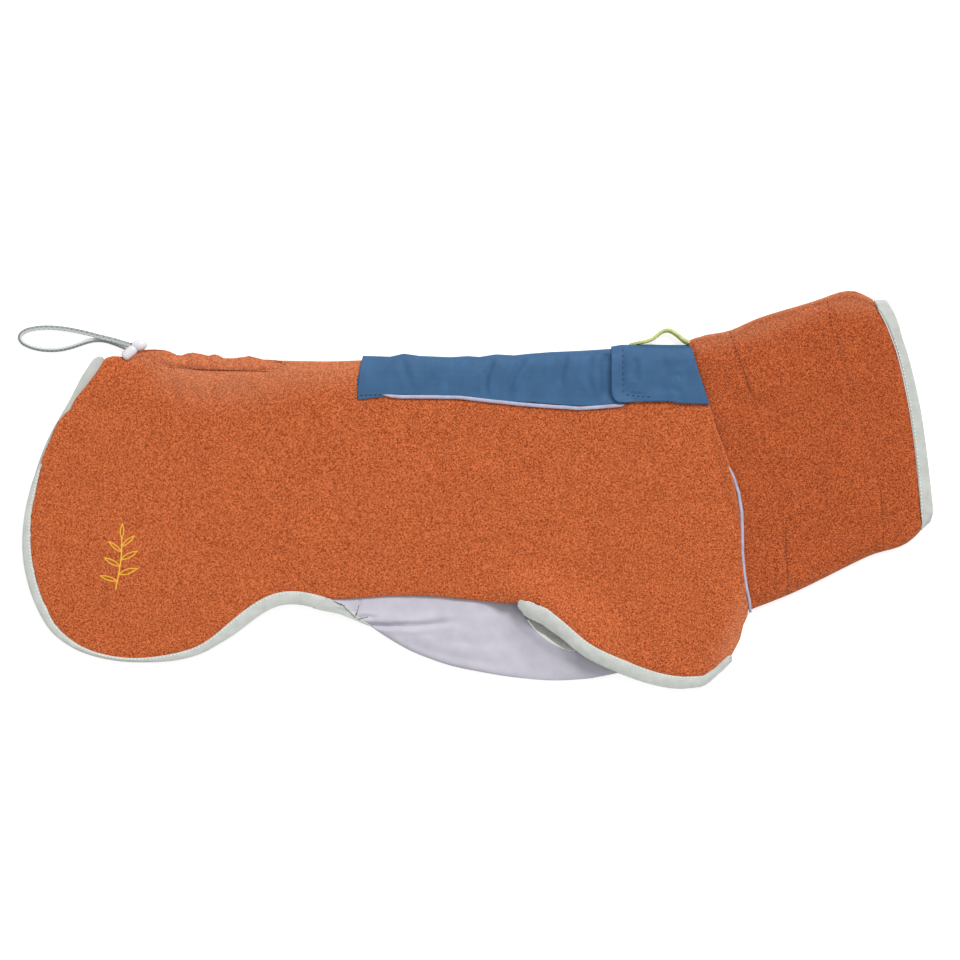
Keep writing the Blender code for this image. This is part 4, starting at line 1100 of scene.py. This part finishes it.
def make_belly_panel():
    """The stretch panel, both of its layers in one piece."""
    piece = fine_cloth("belly_panel", "stretch_panel", levels=1, cell=3.6)
    points = read_points(piece)
    upper = rise(points[:, 2], 3.6, 5.2)
    press(points, BELLY_CREASES, upper)
    raise_by(points, FORELEG_RIM, height=2.6, reach=9.0, weight=upper)
    distance, _, _ = near_path(points[:, :2], FORELEG_LINE)
    fall = BELLY_FALL * rise(distance, 0.0, BELLY_FALL_REACH) * rise(points[:, 0], -8.0, 34.0)
    points[:, 2] *= 1.0 - fall
    free = upper * rise(-points[:, 1], 84.0, 92.0)
    lumps(points, size=22.0, height=0.25, weight=free, seed=2.0)
    lumps(points, size=7.0, height=0.2, weight=upper, seed=8.0)
    draw(points, BELLY_REAR_PULL, reach=8.0)
    write_points(piece, points)
    return dress(piece, STRETCH, "stretch_fabric", "belly_panel")


belly_panel = make_belly_panel()
print("belly panel:", len(belly_panel.data.polygons), "faces")

# %% [markdown]
# ## Bound edges
# A binding is a knitted tape, folded round the cut edge and stitched down through all the layers. Its
# lip lies a little way over the fleece, which is pulled down under it. As tape doesn't lie smoothly
# round a curve, it puckers slightly from stitch to stitch. Where two tapes meet, the one that was sewn
# last covers the other's end.

# %% Bindings
LIP_OVERLAP = 1.0
LIP_DROP = 0.7
LIP_THICKNESS = 1.6
LIP_WIDTH = 4.0
RIM_GAP = 0.3  # the tape's solid starts this far off the cut edge
PUCKER_SIZE = 4.6
PUCKER_HEIGHT = 0.35
BELLY_TAPE_NEAR = [  # x, y, width, low, high
    (-102.8, -81.7, 5.9, 4.9, 6.6), (-95.0, -88.6, 4.7, 4.9, 7.0), (-85.5, -97.0, 2.7, 5.2, 7.3)]
BELLY_TAPE_FAR = [
    (-102.8, -81.7, 5.9, 1.2, 2.9), (-95.0, -88.6, 4.7, 0.3, 2.4), (-85.5, -97.0, 2.7, 0.0, 2.0)]
BELLY_TAPE_LAID = [  # x, y, width, low, high
    (-121.5, -79.8, 8.6, 5.6, 9.3), (-113.0, -81.6, 9.0, 6.0, 9.5), (-106.0, -84.0, 7.9, 5.2, 8.6),
    (-99.4, -86.9, 6.8, 4.8, 7.9), (-92.6, -91.1, 5.4, 4.8, 7.6), (-85.7, -96.4, 3.2, 4.6, 7.4),
    (-82.0, -99.4, 1.8, 4.2, 7.0), (-78.5, -101.6, 0.5, 3.8, 6.2)]


def make_binding(node, name, rim=None, lip_height=0.0, finish=TAPE, slot="binding_tape", lie=True,
                 shape_it=None):
    """A folded tape. Its upper lip is drawn over the cut edge where one is given.

    High on the rump, where the tape goes under the fleece, and at the chest fold, where it is slim,
    the lip keeps to the edge.
    """
    piece = fine_cloth(node, name, levels=3)
    points = read_points(piece)
    if shape_it:
        shape_it(points)
    if rim is not None:
        distance, _, foot = near_path(points[:, :2], rim)
        lip = rise(points[:, 2], lip_height - LIP_THICKNESS, lip_height)
        lip = lip * np.clip(1.0 - (distance - RIM_GAP) / LIP_WIDTH, 0.0, 1.0)
        inward = (foot - points[:, :2]) / np.maximum(distance, 0.05)[:, None]
        overlap = LIP_OVERLAP * (1.0 - rise(points[:, 1], 0.0, 30.0) * (points[:, 0] < 0.0))
        overlap -= LIP_OVERLAP * rise(points[:, 0], 160.0, 172.0) * (points[:, 0] < 220.0)
        points[:, :2] += inward * (lip * (RIM_GAP + overlap))[:, None]
        points[:, 2] -= LIP_DROP * lip * lip
    if lie:
        lie_on_side(points, np.ones(len(points)))
    lumps(points, PUCKER_SIZE, PUCKER_HEIGHT, np.ones(len(points)), seed=4.0)
    points[:, 2] = np.maximum(points[:, 2], 0.0)
    write_points(piece, points)
    return dress(piece, finish, slot, node)


def hide_at_rump(points):
    """Tucks the upper tape under the fleece high on the rump, where the lower one shows past it."""
    share = rise(points[:, 1], 4.0, 46.0)
    points[:, 0] += 3.6 * share
    points[:, 1] -= 1.8 * share
    points[:, 2] -= 2.4 * share


# %% How the tapes are drawn: x, y, and how far in x and in y
RUMP_TAPE_PULL = [(-306, 68, 0, 0), (-298, 80, -1.0, 0.4), (-291, 91, -1.8, 1.0),
                  (-285, 97, -1.0, 1.2)]
CHEST_CORNER_PULL = [
    (162, -150.5, 0, 0.4), (168, -150.0, -0.4, 2.0), (174.8, -149.2, -1.5, 4.2),
    (182.3, -143.6, -2.5, 4.0), (188.3, -134.6, -1.6, 2.8), (190.5, -127.0, 0.6, 2.6)]
NECK_TOP_PULL = [(305, 142.3, 1.9, 0.4), (310.4, 132.9, 2.3, 0.3), (314.8, 122.9, 1.3, 0),
                 (319.4, 112.9, 0, 0)]
FORELEG_EDGE_PULL = [(42, -104, 0, 0), (50, -111, 0.8, 1.8), (58, -116.5, 0.5, 1.0),
                     (66, -119, 0, 0)]
FORELEG_PULL = [(44, -96, 0, 0), (50, -99.5, 1.6, 2.2), (56, -104, 2.4, 3.4), (64, -109, 2.4, 3.4)]


def round_lobe_ends(points):
    """Turns the lobe tape's ends: a round one by the belly, and a slim one at the chest fold."""
    _, share, foot = near_path(points[:, :2], LOBE_RIM)
    widen = 1.3 * rise(share, 0.86, 0.99)
    widen += 0.2 * rise(share, 0.02, 0.10) * (1.0 - rise(share, 0.14, 0.28))
    points[:, :2] += (points[:, :2] - foot) * widen[:, None]
    round_end(points, (39.5, -86.4), (-0.985, 0.17), extra=9.2, reach=12.0, radius=5.0)
    round_end(points, (180.8, -135.0), (0.74, 0.67), extra=12.5, reach=12.0, radius=5.0)
    draw(points, CHEST_CORNER_PULL, reach=10.0)


def shape_lower_lobe(points):
    """The same ends on the lower lobe, whose slit is drawn closed under the belly panel."""
    round_lobe_ends(points)
    draw(points, LOWER_LOBE_PULL, reach=16.0)


def shape_neck_tape(points):
    """Follows the collar's mouth, and stands out a little at its upper fold."""
    draw(points, MOUTH_PULL, reach=22.0)
    draw(points, NECK_TOP_PULL, reach=7.0)


def shape_lower_hem(points):
    """Rounds the lower tape's end where it shows past the rump."""
    draw(points, RUMP_TAPE_PULL, reach=9.0)
    round_end(points, (-285.8, 94.6), (0.68, 0.74), extra=7.2, reach=14.0, radius=3.6)


def gather_belly_tape(points):
    """Lays the tape along the gathered rear of the belly panel, where it is rucked."""
    relay(points, BELLY_TAPE_NEAR, BELLY_TAPE_LAID)
    rucked = rise(points[:, 0], -112.0, -104.0)
    lumps(points, size=2.4, height=0.9, weight=rucked, seed=11.0)


def lay_lower_belly_tape(points):
    """Lays the lower tape under the upper one, from the floor up."""
    relay(points, BELLY_TAPE_FAR, [(x, y, width, 0.0, 12.2 - high)
                                   for x, y, width, _, high in BELLY_TAPE_LAID])


def shape_foreleg_tape(points):
    """Rounds the strip's end, and draws its inner edge up under the lobe."""
    round_end(points, (40.8, -96.1), (-0.5, 0.86), extra=7.0, reach=10.0, radius=4.0)
    draw(points, FORELEG_PULL, reach=8.0)
    draw(points, FORELEG_EDGE_PULL, reach=6.0)


def lift_foreleg_tape(points):
    """The upper strip rises with the belly panel's edge."""
    shape_foreleg_tape(points)
    raise_by(points, FORELEG_RIM, height=2.2, reach=8.0)


# %% Tapes
neck_binding = make_binding("neck_binding", "neck_tape", MOUTH_RIM, 9.2, lie=False,
                            shape_it=shape_neck_tape)
hem_bindings = [
    make_binding("hem_binding_near", "hem_tape_upper", RUMP_RIM, 9.0, shape_it=hide_at_rump),
    make_binding("hem_binding_far", "hem_tape_lower", lie=False, shape_it=shape_lower_hem),
]
lobe_bindings = [
    make_binding("armhole_binding_near", "lobe_tape_upper", LOBE_RIM, 9.9,
                 shape_it=round_lobe_ends),
    make_binding("armhole_binding_far", "lobe_tape_lower", lie=False, shape_it=shape_lower_lobe),
]
belly_bindings = [
    make_binding("belly_binding_near", "belly_tape_upper", lie=False, shape_it=gather_belly_tape),
    make_binding("belly_binding_far", "belly_tape_lower", lie=False,
                 shape_it=lay_lower_belly_tape),
]
strip_bindings = [
    make_binding("strip_binding_near", "foreleg_tape_upper", finish=PAINTED_LIGHT_TAPE, slot="dark_tape",
                 lie=False, shape_it=lift_foreleg_tape),
    make_binding("strip_binding_far", "foreleg_tape_lower", finish=PAINTED_LIGHT_TAPE, slot="dark_tape",
                 lie=False, shape_it=shape_foreleg_tape),
]
print("neck tape:", len(neck_binding.data.polygons), "faces")

# %% [markdown]
# ## The hanging loop and the cord lock
# The loop is a doubled ribbon on edge, leaning a little so that its face shows. The cord lock is
# moulded in two parts: a barrel and a sprung button. The cord passes through a hole across both.

# %% Loop and lock
BARREL_PLACE, BARREL_SHIFT, BARREL_GROWTH = (-263.2, 104.5, 3.8), (2.4, -0.9, 1.4), 1.16
BUTTON_PLACE, BUTTON_SHIFT, BUTTON_GROWTH = (-252.6, 109.7, 4.0), (-0.9, -0.4, 0.9), 1.3
LOOP_PULL = [(106, 110.3, 5, -2.6), (113, 110.5, 2, -1.2), (122, 111.2, 0, -0.2),
             (140, 119, 0, 0.4), (158.6, 110.7, 1.2, -0.4)]
LOOP_LEAN, LOOP_LEAN_AHEAD = 0.7, 1.3


def make_loop():
    """The ribbon loop, its upper edge leaning outward, and its tail end tucked under the tab."""
    piece = fine_cloth("hanging_loop", "ribbon_loop", levels=2)
    points = read_points(piece)
    share = rise(points[:, 2], 1.4, 7.4)
    lean = LOOP_LEAN + LOOP_LEAN_AHEAD * rise(points[:, 0], 134.0, 150.0)
    points[:, 1] += (share - 0.5) * lean
    points[:, 2] *= 0.35 + 0.65 * rise(points[:, 0], 112.0, 126.0)
    draw(points, LOOP_PULL, reach=8.0)
    write_points(piece, points)
    return dress(piece, LOOP_TAPE, "loop_tape", "hanging_loop")


def make_lock_part(node, name, place, shift, growth):
    """A moulded part of the lock."""
    piece = fine_cloth(node, name, levels=2)
    points = read_points(piece)
    points = (points - np.array(place)) * growth + np.array(place) + np.array(shift)
    write_points(piece, points)
    return dress(piece, MOULDED, "moulded_plastic", node)


hanging_loop = make_loop()
lock_barrel = make_lock_part("cord_lock", "lock_barrel", BARREL_PLACE, BARREL_SHIFT, BARREL_GROWTH)
lock_button = make_lock_part("cord_lock_button", "lock_button", BUTTON_PLACE, BUTTON_SHIFT,
                             BUTTON_GROWTH)
print("loop:", len(hanging_loop.data.polygons), "faces")

# %% [markdown]
# ## Stitching
# Sewing shows as rows of short threads. On stretchy edges a zigzag holds the binding, and straight
# rows hold the shell fabric. Each stitch is a small ellipsoid of only a few faces, as there are
# hundreds of them, and each lies on the cloth under it, found by a ray straight down. Rows of the same
# small shapes, in a dark finish, are painted shade in the deep tucks of the belly panel and in the
# mouth of the cord's hole.


# %% Rows of stitches
RAY_HEIGHT = 60.0


def stitch_row(name, path, gap, size, slant, finish, slot, on):
    """A row of stitches along a path. Sizes are half lengths along, across and upward."""
    ground = bmesh.new()
    for piece in on:
        ground.from_mesh(piece.data)
    surface = BVHTree.FromBMesh(ground)
    ground.free()
    places = even_path(path, gap)
    slope = np.gradient(places, axis=0)
    shape = bmesh.new()
    for index, (place, (run, climb)) in enumerate(zip(places, slope)):
        hit = surface.ray_cast(Vector((*place, RAY_HEIGHT)) * MM, Vector((0.0, 0.0, -1.0)))[0]
        if hit is None:
            continue
        turn = math.atan2(climb, run) + slant * (1 if index % 2 else -1)
        matrix = Matrix.Translation(hit) @ Matrix.Rotation(turn, 4, "Z")
        matrix = matrix @ Matrix.Diagonal(Vector((*size, 1.0 / MM)) * MM)
        bmesh.ops.create_uvsphere(shape, u_segments=6, v_segments=4, radius=1.0, matrix=matrix)
    piece = link_mesh(name, shape)
    piece.data.shade_smooth()
    return dress(piece, finish, slot)


# %% Zigzag rows
ZIGZAG_STITCH, ZIGZAG_GAP, ZIGZAG_SLANT = (1.15, 0.42, 0.35), 2.7, 0.5
STRAIGHT = 0.0
hem_line = RUMP_RIM[RUMP_RIM[:, 1] < 16.0]
lobe_line = LOBE_RIM[(LOBE_RIM[:, 0] > 35.0) & (LOBE_RIM[:, 0] < 165.0)]
mouth_line = np.column_stack([MOUTH_RIM, np.zeros(len(MOUTH_RIM))])
mouth_line = mouth_line[(MOUTH_RIM[:, 1] < 112.0) & (MOUTH_RIM[:, 1] > -22.0)]
draw(mouth_line, MOUTH_PULL, reach=22.0)
hem_stitches = stitch_row(
    "hem_stitches", beside_path(hem_line, 0.2), ZIGZAG_GAP, ZIGZAG_STITCH, ZIGZAG_SLANT,
    PALE_THREAD, "binding_tape", [hem_bindings[0], upper_side])
lobe_stitches = stitch_row(
    "lobe_stitches", beside_path(lobe_line, 0.2), ZIGZAG_GAP, ZIGZAG_STITCH, ZIGZAG_SLANT,
    PALE_THREAD, "binding_tape", [lobe_bindings[0], upper_side])
neck_stitches = stitch_row(
    "neck_stitches", beside_path(mouth_line[:, :2], -1.4), ZIGZAG_GAP, ZIGZAG_STITCH, ZIGZAG_SLANT,
    PALE_THREAD, "binding_tape", [neck_binding, collar])

# %% Straight rows
COLLAR_SEAM_ENDS = [
    [(190, 118), (205.5, 75)],
    [(231.5, -28), (233.5, -77)],
    [(263, 141.5), (267, 118), (271, 104)],
    [(303, -4), (304.8, -25), (305, -43)],
]
CASING_ROW = [(-221, 93.6), (-208.5, 90.4), (-177.8, 89.6), (-166.5, 90.2), (-149, 91.2),
              (-144.5, 94.6)]
TAB_END_ROW = [(109.4, 105.0), (109.2, 90.0), (109.4, 74.4)]
TAB_EDGE_ROW = [(113.2, 71.7), (120, 70.6), (128.6, 70.3)]
PANEL_END_ROW = [(-86.8, 71.4), (-80, 71.5), (-72.8, 71.8)]

# The collar's seam ends in the darkened thread: real stitching that also paints the groove's shade.
collar_seams = [
    stitch_row(f"collar_seam_{number}", path, 2.6, (1.2, 0.42, 0.3), STRAIGHT, SEAM_THREAD_AND_SHADE,
               "fleece", [collar])
    for number, path in enumerate(COLLAR_SEAM_ENDS)]
casing_stitches = stitch_row(
    "casing_stitches", CASING_ROW, 3.0, (1.2, 0.4, 0.3), STRAIGHT, RUST_THREAD, "fleece",
    [casing, upper_side])
tab_stitches = stitch_row(
    "tab_end_stitches", TAB_END_ROW, 3.6, (1.5, 0.36, 0.3), STRAIGHT, BLUE_THREAD,
    "shell_fabric", [back_tab])
tab_edge_stitches = stitch_row(
    "tab_edge_stitches", TAB_EDGE_ROW, 2.7, (1.4, 0.45, 0.3), STRAIGHT, BLUE_THREAD,
    "shell_fabric", [back_tab])
panel_stitches = stitch_row(
    "panel_end_stitches", PANEL_END_ROW, 2.7, (1.4, 0.5, 0.3), STRAIGHT, BLUE_THREAD,
    "shell_fabric", [back_panel])

# %% Painted shade in the cord's hole and the belly's tucks
BELLY_TUCK_SHADES = [  # half sizes, path
    ((0.9, 0.34, 0.3), [(-111.8, -81.0), (-104.8, -84.4), (-101.8, -85.8)]),
    ((0.9, 0.8, 0.35), [(-101.8, -85.6), (-100.0, -86.6)]),
    ((0.9, 0.34, 0.3), [(-100.0, -87.0), (-96.6, -90.3), (-91.4, -94.9)]),
    ((0.8, 0.3, 0.3), [(-88.6, -86.5), (-90.2, -91.8)]),
    ((0.8, 0.7, 0.35), [(-90.2, -92.2), (-90.8, -93.4)]),
    ((0.8, 0.5, 0.3), [(-88.5, -96.4), (-85.7, -95.1), (-82.3, -95.1)]),
]
# Painted shade: dark marks in the mouth of the cord's hole.
painted_gap_shade = stitch_row(
    "painted_gap_shade", [(-260.0, 108.9), (-259.0, 110.1)], 0.7, (0.8, 0.7, 0.35), STRAIGHT, PAINTED_SHADE_FINISH,
    "moulded_plastic", [lock_barrel, lock_button])
# Painted shade: dark marks along the belly panel's deep tucks.
tuck_shades = [
    stitch_row(f"belly_tuck_shade_{number}", path, 1.1, size, 0.4, PAINTED_SHADE_FINISH, "stretch_fabric",
               [belly_panel, belly_bindings[0]])
    for number, (size, path) in enumerate(BELLY_TUCK_SHADES)]
print("belly tucks:", len(tuck_shades))

# %% [markdown]
# ## Embroidery
# The hip carries a small embroidered mark. This one is a plain leafy sprig in satin stitch: short
# threads side by side across each line. It is stitched before the sides are sewn together.

# %% Sprig
SPRIG_STEM = [(-271.0, -74.0), (-268.5, -62.0), (-266.5, -48.0), (-266.5, -36.0)]
SPRIG_LEAVES = [  # foot, tip, half width
    ((-266.5, -36.0), (-266.0, -25.0), 3.0),
    ((-266.6, -42.0), (-257.0, -34.0), 2.6), ((-266.7, -46.0), (-276.0, -38.5), 2.6),
    ((-267.2, -52.0), (-254.8, -45.5), 2.8), ((-267.8, -57.0), (-279.5, -50.5), 2.8),
    ((-268.8, -63.0), (-254.8, -58.5), 2.8), ((-269.8, -68.0), (-282.5, -64.0), 2.6),
]


def leaf_outline(foot, tip, half_width):
    """Both edges of a leaf, from its foot to its tip and back."""
    foot, tip = np.array(foot), np.array(tip)
    along = tip - foot
    across = np.array([-along[1], along[0]]) / np.linalg.norm(along)
    shares = np.linspace(0.0, 1.0, 9)
    bulge = half_width * np.sin(np.pi * shares ** 0.8)
    one = foot + shares[:, None] * along + bulge[:, None] * across
    two = foot + shares[:, None] * along - bulge[:, None] * across
    return one, two


sprig = [stitch_row("sprig_stem", SPRIG_STEM, 0.55, (0.42, 0.62, 0.4), STRAIGHT, YELLOW_THREAD,
                    "loop_tape", [upper_side])]
for number, leaf in enumerate(SPRIG_LEAVES):
    for edge_name, edge in zip(("a", "b"), leaf_outline(*leaf)):
        sprig.append(stitch_row(f"sprig_leaf_{number}{edge_name}", edge, 0.6, (0.42, 0.5, 0.38),
                                STRAIGHT, YELLOW_THREAD, "loop_tape", [upper_side]))
print("sprig rows:", len(sprig))

# %% [markdown]
# ## The floor, the light and the air
# The sweater lies on a plain pale floor. Daylight from a large window is a low-angled sun with a very
# wide disc, and the rest comes evenly from the sky. Together they light a level surface so that a
# colour looks as it is written. The floor glows a little to the lens alone, so that it is white while
# it keeps the cloth's shadow and adds no light to the cloth.

# %% Floor
FLOOR_GREY = (0.80, 0.80, 0.80, 1.0)
WHITE = (1.0, 1.0, 1.0, 1.0)
FLOOR_GLOW = 0.64
FLOOR_HALF_WIDTH = 6.0
FLOOR_DEPTH = 0.2


def make_floor():
    """A pale floor, white to the lens and in reflections, that keeps the cloth's shadow."""
    material = bpy.data.materials.new("pale_floor")
    material.use_nodes = True
    tree = material.node_tree
    tree.nodes.clear()
    plain = add_node(tree, "ShaderNodeBsdfDiffuse", {"Color": FLOOR_GREY})
    glow = add_node(tree, "ShaderNodeEmission", {"Color": WHITE, "Strength": FLOOR_GLOW})
    lit = add_node(tree, "ShaderNodeAddShader", {0: plain.outputs[0], 1: glow.outputs[0]})
    rays = add_node(tree, "ShaderNodeLightPath")
    seen = add_node(tree, "ShaderNodeMath", {
        0: rays.outputs["Is Camera Ray"], 1: rays.outputs["Is Glossy Ray"]}, operation="MAXIMUM")
    shown = add_node(tree, "ShaderNodeMixShader", {
        0: seen.outputs[0], 1: plain.outputs[0], 2: lit.outputs[0]})
    add_node(tree, "ShaderNodeOutputMaterial", {"Surface": shown.outputs[0]})
    shape = bmesh.new()
    bmesh.ops.create_grid(shape, x_segments=1, y_segments=1, size=FLOOR_HALF_WIDTH)
    floor = link_mesh("floor", shape)
    floor.location.z = -FLOOR_DEPTH * MM
    floor.data.materials.append(material)
    return floor


make_floor()

# %% Light
SKY_STRENGTH = 0.54
SUN_STRENGTH = 2.15
SUN_HEIGHT = math.radians(46.0)
SUN_FROM = math.radians(62.0)
SUN_DISC = math.radians(20.0)


def make_light():
    """An even sky and one soft sun from the back seam's side."""
    world = bpy.data.worlds.new("sky")
    world.use_nodes = True
    tree = world.node_tree
    tree.nodes.clear()
    rays = add_node(tree, "ShaderNodeLightPath")
    seen = add_node(tree, "ShaderNodeMath", {
        0: rays.outputs["Is Camera Ray"], 1: rays.outputs["Is Glossy Ray"]}, operation="MAXIMUM")
    strength = add_node(tree, "ShaderNodeMapRange", {
        "Value": seen.outputs[0], "To Min": SKY_STRENGTH, "To Max": 1.0})
    sky = add_node(tree, "ShaderNodeBackground", {
        "Color": WHITE, "Strength": strength.outputs["Result"]})
    add_node(tree, "ShaderNodeOutputWorld", {"Surface": sky.outputs[0]})
    bpy.context.scene.world = world
    lamp = bpy.data.lights.new("window", "SUN")
    lamp.energy = SUN_STRENGTH
    lamp.angle = SUN_DISC
    window = bpy.data.objects.new("window", lamp)
    window.rotation_euler = (0.0, math.pi / 2.0 - SUN_HEIGHT, SUN_FROM)
    bpy.context.scene.collection.objects.link(window)


make_light()
bpy.context.scene.view_settings.view_transform = "Standard"
